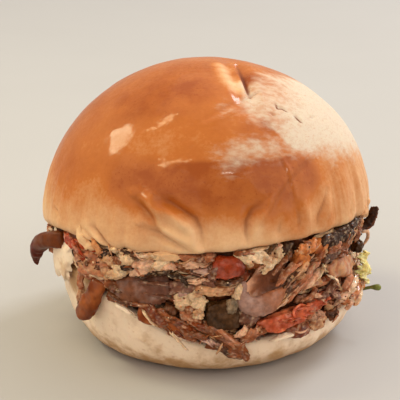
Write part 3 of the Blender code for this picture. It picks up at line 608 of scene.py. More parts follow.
# Flakes all round, laid at random: how many, how far out, how long, how wide, and how often each
# tone comes.
FLAKES = 360
FLAKE_LIFT = (-0.6 * MM, 1.7 * MM)
FLAKE_LENGTH = (4.0 * MM, 12.0 * MM)
FLAKE_WIDTH = (1.8 * MM, 5.0 * MM)
FLAKE_TONES = {
    "brown": 6, "tan": 5, "rose": 5, "dark": 4, "blush": 3, "cream": 3, "amber": 2, "char": 2,
    "pale": 2, "plum": 1, "lilac": 1, "pepper": 2, "red": 0.3, "pickle": 0.5,
}
CLEAR_SPANS = (  # where large pieces show, with nothing random on them: angles, then heights
    (233, 261, 25, 34.5),
    (283, 303, 20.5, 37.5),
    (269, 283, 18, 29),
    (271, 284, 35, 43),
    (289, 316, 15, 23.5),
    (320, 338, 25.5, 33),
    (218, 233, 12, 29),
    (247, 269, 14, 22),
    (195, 220, 24, 42),
)
FRONT_SPAN = (218, 345)  # where the flakes named above lie, so that the others stay below FRONT_LIFT
FRONT_LIFT = 0.6
RANDOM_SEEDS = 500  # the first seed of the flakes laid at random

# Loose bits: how many, and how long or wide each may be.
SHREDS = 420
SHRED_NET = (10, 3)
SHRED_LENGTH = (2.0 * MM, 5.5 * MM)
SHRED_WIDTH = (0.35 * MM, 0.8 * MM)
SHRED_THICKNESS = (0.3 * MM, 0.6 * MM)
CRUMBS = 420
CRUMB_CUTS = 2
CRUMB_SIZE = (0.35 * MM, 0.8 * MM)
BITS_SEED = 23
BITS_GROUND = (  # the pieces that loose bits lie on
    "front_flakes_left", "front_flakes_right", "flakes_first", "flakes_second", "heap_slices",
    "cream_clumps", "fine_dark_slice", "fine_folded_slice", "fine_tan_slice", "fine_meat_chunk",
)
BITS_MARGIN = 0.5 * MM  # between a loose bit and the bread
DROP_FROM = 70 * MM  # a loose bit comes from this radius straight in
DROP_REACH = 24 * MM

SIDE_RADIUS = 50 * MM  # where rings and hollows on the side have their middle
ORANGE_LAYER = (0.72, 0.46, 0.27)

# Each moist finish: its film of oil, least and most roughness, glow, grain's size in mm, grain's
# depth in mm, and how much its colour varies.
MOIST = {
    "shaved_meat": (0.35, 0.35, 0.55, 0.08, 0.9, 0.12, 0.45),
    "cream_sauce": (0.5, 0.35, 0.55, 0.25, 1.2, 0.04, 0.08),
    "torn_flakes": (0.9, 0.35, 0.55, 0.25, 0.9, 0.1, 0.26),
    "roast_meat": (0.7, 0.35, 0.55, 0.08, 1.4, 0.08, 0.22),
    "charred_meat": (0.25, 0.35, 0.55, 0.08, 0.9, 0.1, 0.5),
    "tomato_flesh": (0.9, 0.22, 0.4, 0.3, 1.2, 0.05, 0.25),
    "pepper_skin": (0.35, 0.35, 0.5, 0.15, 1.6, 0.04, 0.16),
    "pickle_flesh": (0.6, 0.25, 0.45, 0.1, 1.2, 0.08, 0.4),
    "onion_layers": (0.6, 0.25, 0.4, 0.2, 1.2, 0.04, 0.2),
    "lettuce_leaf": (0.6, 0.3, 0.45, 0.3, 0.8, 0.06, 0.3),
}

# The stage, in metres: each lamp's name, place, aim, size and colour. A bar runs from one place to
# another and shines along the dome.
MIDDLE = (0, 0, 0.045)
LAMPS = (
    ("key", (1.08, 1.08, 1.29), MIDDLE, (0.6, 0.6), (0.93, 0.97, 1)),
    ("fill", (-0.75, -0.85, 0.55), MIDDLE, (1.6, 1.3), (1, 0.94, 0.85)),
    ("side", (1.1, -0.35, 0.6), MIDDLE, (1.5, 1.3), (1, 0.95, 0.87)),
    ("top", (0.15, 0.32, 0.8), (0.05, 0.05, 0), (0.9, 0.8), (1, 0.97, 0.93)),
    ("window", (-0.527, 0.12, 0.537), (-0.0267, -0.0298, 0.071), (0.18, 0.17), (1, 0.97, 0.64)),
)
BARS = (  # the last number is how strong each is
    ("high_bar", (-0.38, 0.028, 0.67), (-0.186, 0.074, 0.747), 1),
    ("low_bar", (-0.38, -0.279, 0.615), (-0.106, -0.318, 0.704), 1.7),
)
BAR_COLOUR = (1, 0.78, 0.42)
BAR_WIDTH = 0.012
BAR_AIM = (-0.01, -0.036, 0.072)
GLINT = ("glint", (0.147, -0.486, 0.589), MIDDLE, (0.07, 0.02), (1, 0.9, 0.75))
FLOOR_RADIUS = 4
FLOOR_MOTTLE = 0.08  # how wide its faint patches are
CAMERA_PLACE = (-0.0015, -0.4265, 0.1886)
CAMERA_AIM = (-0.0015, -0.0010, 0.0421)
CAMERA_LENS = 126  # mm


def on_screen(red, green, blue):
    """A colour given as 0 to 255 on a screen, as the renderer counts it."""
    return tuple((level / 255) ** 2.2 for level in (red, green, blue))


# ---- Sizes and colours that can be changed ---------------------------------------------------

def colour_setting(name, description, red, green, blue):
    return FloatVectorProperty(
        name=name, description=description, subtype="COLOR", size=3, min=0, max=1,
        default=on_screen(red, green, blue),
    )


def power_setting(name, description, power):
    return FloatProperty(name=name, description=description, default=power, min=0, unit="POWER")


def count_setting(name, description, count):
    return IntProperty(name=name, description=description, default=count, min=0)


class BunSettings(bpy.types.PropertyGroup):
    pale: colour_setting("Pale crust", "Crust that has hardly browned", 228, 184, 140)
    golden: colour_setting("Golden crust", "Crust of the upper dome", 187, 108, 50)
    brown: colour_setting("Brown crust", "The most baked crust", 154, 77, 30)
    # The crease lines' colour: partly darker crust, partly painted shade in the creases.
    stain: colour_setting("Crease line", "Dark line in a sharp crease", 120, 56, 26)
    flour: colour_setting("Flour", "Floury skin on the right", 215, 201, 181)
    heel: colour_setting("Heel crust", "The pale lower half", 247, 220, 192)
    heel_foot: colour_setting("Heel foot", "The browner bottom edge", 188, 144, 98)
    wrinkle: FloatProperty(
        name="Wrinkle depth", description="Depth of the skin's soft waves", default=0.18 * MM,
        min=0, unit="LENGTH", precision=5,
    )
    gloss: FloatProperty(
        name="Gloss", description="Strength of the glaze on the dome", default=0.36, min=0, max=1,
        subtype="FACTOR",
    )


class FillingSettings(bpy.types.PropertyGroup):
    tan: colour_setting("Tan meat", "Pale roast meat", 203, 149, 107)
    rose: colour_setting("Rose meat", "Pinkish meat", 180, 112, 78)
    blush: colour_setting("Blush meat", "Pale pinkish layers", 226, 173, 140)
    brown: colour_setting("Brown meat", "Browned meat", 133, 74, 42)
    dark: colour_setting("Dark meat", "Well roasted meat", 98, 56, 33)
    char: colour_setting("Char", "Burnt edges", 58, 33, 19)
    plum: colour_setting("Plum", "Dark wet meat with a purple cast", 117, 75, 59)
    lilac: colour_setting("Lilac", "Greyish pink layers", 188, 144, 128)
    pale: colour_setting("Pale shreds", "Lightest shreds", 238, 201, 164)
    cream: colour_setting("Cream", "Cream sauce", 220, 183, 144)
    core: colour_setting("Core", "Meat deep in the heap", 98, 54, 32)
    flakes: count_setting("Flakes", "Number of flakes all round", FLAKES)
    shreds: count_setting("Shreds", "Number of loose shreds", SHREDS)
    crumbs: count_setting("Crumbs", "Number of loose crumbs", CRUMBS)


class ToppingSettings(bpy.types.PropertyGroup):
    tomato: colour_setting("Tomato", "Red flesh", 166, 62, 34)
    tomato_pale: colour_setting("Pale tomato", "Lighter flesh near the skin", 222, 122, 82)
    pepper: colour_setting("Pepper", "Roast pepper skin", 128, 59, 22)
    pepper_bright: colour_setting("Bright pepper", "Where light comes through the pepper", 204, 122, 66)
    pepper_dark: colour_setting("Dark pepper", "Charred pepper skin", 88, 32, 15)
    pickle: colour_setting("Pickle", "Dark wet flesh", 60, 40, 23)
    pickle_pale: colour_setting("Pale pickle", "Lighter flesh", 80, 52, 29)
    onion: colour_setting("Onion", "Dark purple layers", 98, 48, 40)
    onion_pale: colour_setting("Pale onion", "Edges of the layers", 212, 164, 130)
    lettuce: colour_setting("Leaf", "Yellow green leaf", 216, 192, 106)
    lettuce_pale: colour_setting("Leaf edge", "Bright edge of the leaf", 242, 230, 168)
    herb: colour_setting("Herb", "Thin green stalk", 112, 118, 66)


class StageSettings(bpy.types.PropertyGroup):
    floor: colour_setting("Floor", "Plain pale floor", 183, 181, 180)
    room: colour_setting("Room", "Soft warm light from all round", 255, 240, 222)
    room_power: FloatProperty(
        name="Room light", description="Strength of the soft light", default=0.61, min=0,
    )
    key_power: power_setting("Key light", "Cool light from the back", 22.0)
    fill_power: power_setting("Fill light", "Soft light from the front left", 3.7)
    side_power: power_setting("Side light", "Weak soft light from the right", 6.6)
    top_power: power_setting("Top light", "Broad light from above", 1.0)
    window_power: power_setting("Window", "Window on the left", 1.7)
    bar_power: power_setting("Bars", "Two long narrow lamps that shine along the glaze", 0.3)
    glint_power: power_setting("Glint", "Small lamp in front that glints in wet food", 0.15)


def setting_names(settings):
    """The names of a group's own settings."""
    return [name for name in settings.bl_rna.properties.keys() if name not in {"rna_type", "name"}]


def values_of(settings):
    """A group's settings as plain values, with each colour as a tuple."""
    values = {name: getattr(settings, name) for name in setting_names(settings)}
    return SimpleNamespace(**{
        name: value if isinstance(value, (int, float)) else tuple(value)
        for name, value in values.items()
    })


# ---- Forms -----------------------------------------------------------------------------------

def smooth_read(values, place, closed=False):
    """Reads a smooth curve through evenly spaced values at place, counted in values."""
    last = len(values) - 1
    start = math.floor(place) if closed else min(max(math.floor(place), 0), last - 1)
    share = place - start

    def value(index):
        return values[index % len(values)] if closed else values[min(max(index, 0), last)]

    before, here, after, beyond = (value(start + k) for k in (-1, 0, 1, 2))
    rise = (after - before) / 2
    fall = (beyond - here) / 2
    bend = 3 * (after - here) - 2 * rise - fall
    swing = 2 * (here - after) + rise + fall
    return here + share * (rise + share * (bend + share * swing))


def around(heights, angle):
    """The height in metres, at an angle, of a rim given in mm at even steps."""
    return smooth_read(heights, angle / TURN * len(heights), closed=True) * MM


def polar(angle, radius, height):
    return Vector((radius * math.cos(angle), radius * math.sin(angle), height))


def side_spot(degrees, height):
    """A point on the sandwich's side at an angle in degrees and a height in mm."""
    return polar(degrees * DEGREE, SIDE_RADIUS, height * MM)


def leaned(right, up, lean):
    """A step right and up, turned anticlockwise by lean."""
    return right * math.cos(lean) - up * math.sin(lean), right * math.sin(lean) + up * math.cos(lean)


def fade(distance, width):
    """1 at no distance, falling smoothly to 0 at width."""
    share = min(abs(distance) / width, 1)
    return (1 - share * share) ** 2


def eased(value, low, high):
    """0 below low, 1 above high, and smooth between."""
    share = min(max((value - low) / (high - low), 0), 1)
    return share * share * (3 - 2 * share)


def blended(first, second, share):
    return tuple(a + (b - a) * share for a, b in zip(first, second))


def dimmed(colour, amount):
    return tuple(level * amount for level in colour)


def grain(point, size, octaves=3):
    """Uneven noise of about -1 to 1, whose largest bumps are about size across."""
    return noise.fractal(point / size, 0.9, 2.1, octaves) if octaves > 1 else noise.noise(point / size)


def fold_depth(angle, height):
    """How far the folds draw the crown's side in."""
    depth = 0.0
    for middle, half_width, lean, deepest, top in FOLDS:
        share = (height / MM - FOLD_FOOT) / (top - FOLD_FOOT)
        if share < 1:
            turn = angle / DEGREE - middle - lean * (share - 0.5)
            turn = (turn + 180) % 360 - 180
            depth += deepest * MM * fade(turn, half_width) * (1 - max(share, 0) ** 2)
    return depth


def pinch_depth(x, y):
    """How far the crease across the top sinks in."""
    run = PINCH_TO - PINCH_FROM
    from_start = Vector((x, y)) - PINCH_FROM
    share = min(max(from_start.dot(run) / run.length_squared, 0), 1)
    away = (from_start - run * share).length
    return PINCH_DEPTH * fade(away, PINCH_HALF_WIDTH) * math.sin(math.pi * (0.1 + 0.8 * share))


def swell(angle, waves):
    return 1 + sum(depth * math.sin(count * angle + shift) for count, depth, shift in waves)


def crown_side(angle, share):
    """Radius and height on the dome, share 0 at the top and 1 where the lip begins."""
    rise = CROWN_TOP - CROWN_WAIST
    edge = (around(CROWN_RIM, angle) + CROWN_LIP - CROWN_WAIST) / rise
    sweep = math.acos(edge) if edge > 0 else math.pi / 2 - edge
    down = sweep * share
    if down <= math.pi / 2:
        radius = CROWN_RADIUS * math.sin(down)
        height = CROWN_WAIST + rise * math.cos(down)
    else:
        under = down - math.pi / 2
        radius = CROWN_RADIUS * (1 - CROWN_TUCK * under**2)
        height = CROWN_WAIST - rise * under
    radius *= 1 + (swell(angle, CROWN_SWELLS) - 1) * (radius / CROWN_RADIUS) ** 2
    aside = CROWN_SHIFT + CROWN_LEAN * (height - CROWN_WAIST) / rise
    return radius + aside * math.cos(angle) * radius / CROWN_RADIUS, height


def crown_under(angle, radius):
    """Height of the crown's underside, level outside the lowest line of its lip."""
    outer, edge = crown_side(angle, 1)
    middle = outer - CROWN_LIP
    inner = middle + CROWN_LIP * math.cos(LIP_TURN)
    inner_height = edge - CROWN_LIP * math.sin(LIP_TURN)
    if radius < inner:
        return CROWN_CUT + (inner_height - CROWN_CUT) * (radius / inner) ** 2
    return edge - math.sqrt(CROWN_LIP**2 - min(radius - middle, 0) ** 2)


def crown_point(angle, ring):
    dome, lip, cut = CROWN_RINGS
    if ring <= dome:
        radius, height = crown_side(angle, ring / dome)
        point = polar(angle, radius - fold_depth(angle, height), height)
        point.z -= pinch_depth(point.x, point.y)
        return point
    outer, edge = crown_side(angle, 1)
    turn = LIP_TURN * min((ring - dome) / lip, 1)
    radius = outer - CROWN_LIP + CROWN_LIP * math.cos(turn) - fold_depth(angle, edge) * math.cos(turn / 2)
    height = edge - CROWN_LIP * math.sin(turn)
    if ring > dome + lip:
        radius *= (dome + lip + cut - ring) / cut
        height = crown_under(angle, radius)
    return polar(angle, radius, height)


def heel_outer(angle):
    return HEEL_RADIUS * swell(angle, HEEL_SWELLS)


def heel_over(angle, radius):
    """Height of the heel's cut face, level outside the highest line of its lip."""
    edge = around(HEEL_RIM, angle) - HEEL_LIP
    middle = heel_outer(angle) - HEEL_LIP
    inner = middle + HEEL_LIP * math.cos(LIP_TURN)
    inner_height = edge + HEEL_LIP * math.sin(LIP_TURN)
    if radius < inner:
        return HEEL_CUT + (inner_height - HEEL_CUT) * (radius / inner) ** 3
    return edge + math.sqrt(HEEL_LIP**2 - min(radius - middle, 0) ** 2)


def heel_point(angle, ring):
    cut, lip, wall, foot = HEEL_RINGS
    outer = heel_outer(angle)
    edge = around(HEEL_RIM, angle) - HEEL_LIP
    if ring <= cut + lip:
        turn = LIP_TURN * min((cut + lip - ring) / lip, 1)
        radius = outer - HEEL_LIP + HEEL_LIP * math.cos(turn)
        height = edge + HEEL_LIP * math.sin(turn)
        if ring < cut:
            radius *= ring / cut
            height = heel_over(angle, radius)
        return polar(angle, radius, height)
    drop = (ring - cut - lip) / wall
    if drop <= 1:
        lift = math.pi / 2 * (1 - drop)
        outwards, upwards = HEEL_FULLNESS
        radius = HEEL_FOOT + (outer - HEEL_FOOT) * math.sin(lift) ** outwards
        return polar(angle, radius, edge * (1 - math.cos(lift) ** upwards))
    return polar(angle, HEEL_FOOT * (cut + lip + wall + foot - ring) / foot, 0)


def core_point(angle, ring):
    top, side, bottom = CORE_RINGS
    ceiling = crown_under(angle, CORE_TOP_RADIUS) - CROWN_GAP
    floor = heel_over(angle, CORE_FOOT_RADIUS) + SLICE_GAP
    if ring <= top:
        radius = CORE_TOP_RADIUS * ring / top
        return polar(angle, radius, crown_under(angle, radius) - CROWN_GAP)
    if ring >= top + side:
        radius = CORE_FOOT_RADIUS * (top + side + bottom - ring) / bottom
        return polar(angle, radius, heel_over(angle, radius) + SLICE_GAP)
    share = (ring - top) / side
    bulge = math.sin(math.pi * share)
    radius = CORE_TOP_RADIUS + (CORE_FOOT_RADIUS - CORE_TOP_RADIUS) * share
    radius += (CORE_RADIUS - (CORE_TOP_RADIUS + CORE_FOOT_RADIUS) / 2) * bulge
    return polar(angle, radius, ceiling + (floor - ceiling) * share)


def in_solid_rings(ring, fine, solid):
    """The place among the solid's rings that matches a ring of the fine net."""
    place = 0
    for fine_count, solid_count in zip(fine, solid):
        if ring <= fine_count:
            return place + ring / fine_count * solid_count
        ring -= fine_count
        place += solid_count
    return place


def turned_outwards(bm):
    """The closed form with every face pointing out."""
    bmesh.ops.recalc_face_normals(bm, faces=bm.faces)
    if bm.calc_volume(signed=True) < 0:
        bmesh.ops.reverse_faces(bm, faces=bm.faces)
    bm.normal_update()
    return bm


def new_form():
    """An empty form and the layer that holds its points' colours."""
    bm = bmesh.new()
    return bm, bm.verts.layers.float_color.new("tone")


def ball(segments, rings, place, tint, density=0.0):
    """A closed round form. place(angle, ring) sets its points and tint(point, angle, ring) their
    colours, ring 0 at the top."""
    bm, tone = new_form()
    bmesh.ops.create_uvsphere(bm, u_segments=segments, v_segments=rings, radius=1)
    for vert in bm.verts:
        angle = math.atan2(vert.co.y, vert.co.x) % TURN
        angle -= density * math.sin(angle - FRONT)
        ring = math.acos(min(max(vert.co.z, -1), 1)) / math.pi * rings
        vert.co = place(angle, ring)
        vert[tone] = (*tint(vert.co, angle, ring), 1)
    return turned_outwards(bm)


def slab(net, place, tint):
    """A thin closed piece. place(s, t, side) sets its points and tint(point, s, t, side) their
    colours; each of s, t and side runs from -1 to 1."""
    bm, tone = new_form()
    lower = bmesh.ops.create_grid(bm, x_segments=net[0], y_segments=net[1], size=1)["verts"]
    raised = bmesh.ops.extrude_face_region(bm, geom=bm.faces[:], use_keep_orig=True)["geom"]
    upper = [item for item in raised if isinstance(item, bmesh.types.BMVert)]
    for side, verts in ((-1, lower), (1, upper)):
        for vert in verts:
            s = math.sin(vert.co.x * math.pi / 2)
            t = math.sin(vert.co.y * math.pi / 2)
            vert.co = place(s, t, side)
            vert[tone] = (*tint(vert.co, s, t, side), 1)
    return turned_outwards(bm)


def lump(cuts, place, tint):
    """A closed chunk. place(x, y, z) sets its points and tint(point, x, y, z) their colours; each
    of x, y and z runs from -1 to 1."""
    bm, tone = new_form()
    bmesh.ops.create_cube(bm, size=2)
    if cuts:
        bmesh.ops.subdivide_edges(bm, edges=bm.edges, cuts=cuts, use_grid_fill=True)
    for vert in bm.verts:
        x, y, z = vert.co
        vert.co = place(x, y, z)
        vert[tone] = (*tint(vert.co, x, y, z), 1)
    return turned_outwards(bm)


def roughen(bm, depth, size, octaves=3):
    """Moves every point in or out by uneven noise, whose depth and size are in mm."""
    bm.normal_update()
    moves = [vert.normal * (depth * MM) * grain(vert.co, size * MM, octaves) for vert in bm.verts]
    for vert, move in zip(bm.verts, moves):
        vert.co += move
    return bm


def rounded(x, y, z, roundness):
    """A cube's point drawn towards the ball inside it."""
    on_ball = Vector((
        x * math.sqrt(1 - y * y / 2 - z * z / 2 + y * y * z * z / 3),
        y * math.sqrt(1 - z * z / 2 - x * x / 2 + z * z * x * x / 3),
        z * math.sqrt(1 - x * x / 2 - y * y / 2 + x * x * y * y / 3),
    ))
    return Vector((x, y, z)).lerp(on_ball, roundness)


def rim_height(s, t, power=EDGE_POWER):
    """The share of its thickness that a thin piece keeps towards its rim."""
    return math.sqrt(max(1 - max(abs(s), abs(t)) ** power, 0))


def beside(spot, right, up, out):
    """A point at given distances right, up and out of a spot on the sandwich's side."""
    across, rise = leaned(right, up, spot.lean * DEGREE)
    radius = spot.radius * MM
    return polar(spot.angle * DEGREE + across / radius, radius + out, spot.height * MM + rise)


def leaf_form(leaf, tint, ruffle=0.0):
    """A thin piece with a ragged round outline, thinner at its edge."""
    def place(s, t, side):
        ragged = 1 + LEAF_RAGGEDNESS * noise.noise(Vector((2 * s, 2 * t, leaf.angle)))
        ragged += 0.05 * noise.noise(Vector((9 * s, 9 * t, leaf.angle)))
        right = leaf.length * MM / 2 * s * math.sqrt(1 - LEAF_ROUNDNESS * t * t) * ragged
        up = leaf.width * MM / 2 * t * math.sqrt(1 - LEAF_ROUNDNESS * s * s) * ragged
        edge = max(abs(s), abs(t))
        out = leaf.hollow * MM * (edge * edge - 0.5)
        out += leaf.ripple * MM * math.sin(5 * s + 3 * t + leaf.angle) * edge + leaf.tip * MM * t
        out += ruffle * MM * edge**3 * math.sin(16 * s + 11 * t + leaf.angle)
        out += side * leaf.thickness * MM / 2 * rim_height(s, t)
        return beside(leaf, right, up, out)

    return slab(LEAF_NET, place, tint)


def chunk_form(chunk, tint):
    def place(x, y, z):
        point = rounded(x, y, z, chunk.roundness + 0.25 * (1 - chunk.roundness))
        uneven = 1 + CHUNK_UNEVENNESS * noise.noise(1.3 * point + Vector((0, 0, chunk.angle)))
        right = chunk.length * MM / 2 * point.x * uneven
        up = chunk.width * MM / 2 * point.y * uneven
        return beside(chunk, right, up, (chunk.depth / 2 * point.z + chunk.tip * point.y) * MM)

    return lump(CHUNK_CUTS, place, tint)


def route_point(route, place):
    """A point on the smooth curve through a route of angles, radii and heights."""
    angle, radius, height = (smooth_read([stop[k] for stop in route], place) for k in range(3))
    return polar(angle * DEGREE, radius * MM, height * MM)


def route_run(route, place):
    """The direction in which a route runs."""
    return (route_point(route, place + 0.05) - route_point(route, place - 0.05)).normalized()


def strip_form(strip, tint, curl=0.0, taper=STRIP_TAPER, point=0.0):
    """A long piece that follows its route, narrows to its end and curls along its edges."""
    last = len(strip.route) - 1

    def place(s, t, side):
        along = (s + 1) / 2 * last
        middle = route_point(strip.route, along)
        run = route_run(strip.route, along)
        outward = Vector((middle.x, middle.y, 0)).normalized()
        outward = (outward - run * outward.dot(run)).normalized()
        across = run.cross(outward)
        across, outward = leaned(across, outward, -strip.twist * DEGREE)
        narrowed = (1 - taper * (abs(s) ** 3 + max(s, 0) ** 4)) * (1 - point * (s + 1) ** 2 / 4)
        uneven = 1 + STRIP_UNEVENNESS * math.sin(4 * s + strip.width)
        uneven += 0.08 * noise.noise(Vector((7 * s, 2 * t, strip.width)))
        spot = middle + across * (strip.width * MM / 2 * t * narrowed * uneven)
        out = side * strip.thickness / 2 * rim_height(s, t) * narrowed - curl * t * t
        return spot + outward * out * MM

    return slab(STRIP_NET, place, tint)


def curl_form(angle, height, reach, start, tint):
    """A thin skin that curls round a place on the side."""
    first, growth = CURL_RADII
    route = []
    for step in range(CURL_STEPS):
        turn = (start + CURL_STEP * step) * DEGREE
        wide = reach * (1 - 0.08 * step)
        aside = wide * math.cos(turn) / 51 / DEGREE
        route.append((angle + aside, first + growth * step, height + 0.75 * wide * math.sin(turn)))
    return roughen(strip_form(Strip(route, *CURL_WIDTH, 35), tint), 0.2, 1.5)


def stalk_form(tint):
    """A thin round stalk that swells into a bud."""
    last = len(STALK_ROUTE) - 1

    def place(angle, ring):
        share = ring / STALK_NET[1]
        middle = route_point(STALK_ROUTE, share * last)
        run = route_run(STALK_ROUTE, share * last)
        side = run.cross(Vector((0, 0, 1))).normalized()
        over = side.cross(run)
        bud = fade(share - BUD_PLACE, BUD_REACH)
        radius = STALK_RADIUS * (1 - bud) + BUD_RADIUS * bud
        radius *= math.sqrt(max(1 - abs(2 * share - 1) ** 12, 0))
        return middle + (side * math.cos(angle) + over * math.sin(angle)) * radius

    return ball(*STALK_NET, place, tint)


Slice = namedtuple("Slice", "angle height length reach thickness roll droop wave")


def held(turn, radius, height, gap, half=0.0):
    """The height, kept clear of the heel below and of the crown above."""
    lowest = heel_over(turn, radius) + gap + half
    highest = crown_under(turn, radius) - gap - half
    return min(max(height, lowest), highest)


def slice_place(piece, fine):
    """Where a slice's points lie: plainly as in the solids, or fine, with a frayed edge."""
    def place(s, t, side):
        root = SLICE_ROOT
        outer = root + (piece.reach - root) * (1 - 0.35 * s * s)
        outer += SLICE_UNEVENNESS * math.sin(3.1 * s + 50 * piece.angle) * (1 + t) / 2
        radius = root + (outer - root) * (1 + t) / 2
        turn = piece.angle + piece.length / 2 * s / radius
        rise = math.tan(piece.roll) * piece.length / 2 * s
        rise += piece.wave * math.sin(2.6 * s + 70 * piece.angle) * (1 + t) / 2
        rise -= piece.droop * (1 + t) ** 2 / 4
        half = piece.thickness / 2 * (1 - 0.35 * max(abs(s), t) ** 3)
        if fine:
            half = piece.thickness / 2 * rim_height(s, max(t, 0))
            fray = Vector((4 * s, 50 * piece.angle, 900 * piece.height))
            radius += SLICE_FRAY * max(t, 0) ** 3 * noise.fractal(fray, 0.8, 2.2, 3)
            rise += SLICE_FLUTTER * (1 + t) / 2 * noise.noise(fray * 1.7)
        middle = held(turn, radius, piece.height + rise, SLICE_GAP, half)
        return polar(turn, radius, middle + side * half)

    return place


def is_in_heap(piece, heap):
    """Whether the solid heap holds this slice: some corners of its edge lie on the heap."""
    place = slice_place(piece, fine=False)
    hits = 0
    for s in (-1, -0.5, 0.5, 1):
        for side in (-1, 1):
            found = heap.find_nearest(place(s, 1, side))
            hits += found[3] is not None and found[3] < ON_HEAP
    return hits >= 2


def heap_slices(heap):
    """The solid heap's slices: those shown on the front, then the rows round the core."""
    for angle, height, length, reach, roll in SHOWN_SLICES:
        piece = Slice(
            angle * DEGREE, height * MM, length * MM, reach * MM,
            SHOWN_THICKNESS, roll * DEGREE, SHOWN_DROOP, SHOWN_WAVE,
        )
        if is_in_heap(piece, heap):
            yield piece
    draw = random.Random(SLICE_SEED)
    for slot in range(ROW_SLOTS):
        for row in range(ROWS_MOST):
            angle = (slot + 0.5 * (row % 2) + draw.uniform(-0.25, 0.25)) * TURN / ROW_SLOTS
            low = heel_over(angle, CORE_RADIUS)
            room = crown_under(angle, CORE_RADIUS) - low
            rows = max(round(room / ROW_HEIGHT), 1)
            height = low + room * (row + 0.5 + draw.uniform(-0.2, 0.2)) / rows
            length = draw.uniform(*SLICE_LENGTH)
            reach = draw.uniform(*SLICE_REACH)
            thickness = draw.uniform(*SLICE_THICKNESS)
            roll = draw.uniform(-SLICE_ROLL, SLICE_ROLL)
            droop = draw.uniform(*SLICE_DROOP)
            wave = draw.uniform(*SLICE_WAVE)
            if row >= rows:
                continue
            for part in SLICE_PARTS:
                piece = Slice(angle, height, length * part, reach, thickness, roll, droop, wave)
                if is_in_heap(piece, heap):
                    yield piece
                    break


def clump_form(clump, tint):
    """A clump of cream that sits in the core and bulges out of it."""
    angle = clump[0] * DEGREE
    height, reach, length, width = (size * MM for size in clump[1:])

    def place(x, y, z):
        point = rounded(x, y, z, CLUMP_ROUNDNESS)
        uneven = 1 + CLUMP_UNEVENNESS * noise.noise(1.5 * point + Vector((0, 0, angle)))
        uneven += 0.12 * noise.fractal(4 * point + Vector((angle, 0, 0)), 0.9, 2, 3)
        radius = SLICE_ROOT + (reach - SLICE_ROOT) * (1 + point.z * uneven) / 2
        turn = angle + length / 2 * point.x * uneven / radius
        return polar(turn, radius, held(turn, radius, height + width / 2 * point.y * uneven, GAP))

    return roughen(lump(CLUMP_CUTS, place, tint), 0.3, 2.2)


def between_halves(turn, radius, height, half):
    """The height, kept clear of the crown above and of the heel below."""
    if radius < heel_outer(turn) + GAP:
        height = max(height, heel_over(turn, radius) + SOFT_GAP + half)
    outer, edge = crown_side(turn, 1)
    off_middle = radius - outer + CROWN_LIP
    if off_middle < 0:
        return min(height, crown_under(turn, radius) - SOFT_GAP - half)
    return min(height, edge - math.sqrt(max(CROWN_LIP**2 - off_middle**2, 0)) - SOFT_GAP - half)


def flake_form(flake, seed, tint, net=FLAKE_NET, growth=1.0, hold=between_halves):
    """A torn flake that lies on the heap, ragged and bent."""
    draw = random.Random(seed)
    bend = draw.uniform(-FLAKE_BEND, FLAKE_BEND)
    bow = draw.uniform(*FLAKE_BOW) * MM * math.sqrt(flake.length)
    tilt = draw.uniform(-FLAKE_TILT, FLAKE_TILT) * MM * math.sqrt(flake.width)
    thickness = FLAKE_THICKNESS * min(draw.uniform(0.7, 1.2), 0.35 + 0.4 * flake.width)

    def place(s, t, side):
        torn = growth + FLAKE_RAGGEDNESS * noise.fractal(Vector((2 * s, 2 * t, seed)), 1.0, 2.3, 4)
        right = flake.length * MM / 2 * s * math.sqrt(1 - 0.3 * t * t) * torn
        up = flake.width * MM / 2 * t * math.sqrt(1 - 0.45 * s * s) * torn
        up += bend * flake.length * MM * (s * s - 0.3)
        out = tilt * t - bow * (s * s - 0.3) - FLAKE_CURL * max(abs(s), abs(t)) ** 3
        out += FLAKE_WARP * noise.noise(Vector((1.6 * s, 1.4 * t, seed + 9)))
        half = thickness / 2 * rim_height(s, t, 4)
        across, rise = leaned(right, up, flake.lean * DEGREE)
        radius = FLAKE_RADIUS + flake.lift * MM + out
        turn = flake.angle * DEGREE + across / radius
        height = hold(turn, radius, flake.height * MM + rise, half)
        return polar(turn, radius + side * half, height)

    return slab(net, place, tint)


def is_clear(degrees, height):
    """Whether nothing random may lie at this angle and height, in mm."""
    return any(
        start < degrees < end and low < height < high for start, end, low, high in CLEAR_SPANS
    )


def flap_form(flap, seed):
    """A thin flap of bread skin, tinted with the crust's masks."""
    *measures, brown = flap
    form = flake_form(
        Flake(*measures, "bread"), seed, lambda *_: (brown, 0.1, 0.0), FRONT_FLAKE_NET,
        hold=lambda turn, radius, height, half: height,
    )
    return roughen(form, 0.12, 2, 2)


def torn(bm):
    """The form with a lumpy surface, finely broken up."""
    for depth, size in TORN_RELIEF:
        roughen(bm, depth, size, 2)
    return bm


def join(forms):
    """One form of many, whose own are freed."""
    joined, _ = new_form()
    carrier = bpy.data.meshes.new("carrier")
    for form in forms:
        form.to_mesh(carrier)
        form.free()
        joined.from_mesh(carrier)
    bpy.data.meshes.remove(carrier)
    return joined


# ---- Finishes --------------------------------------------------------------------------------

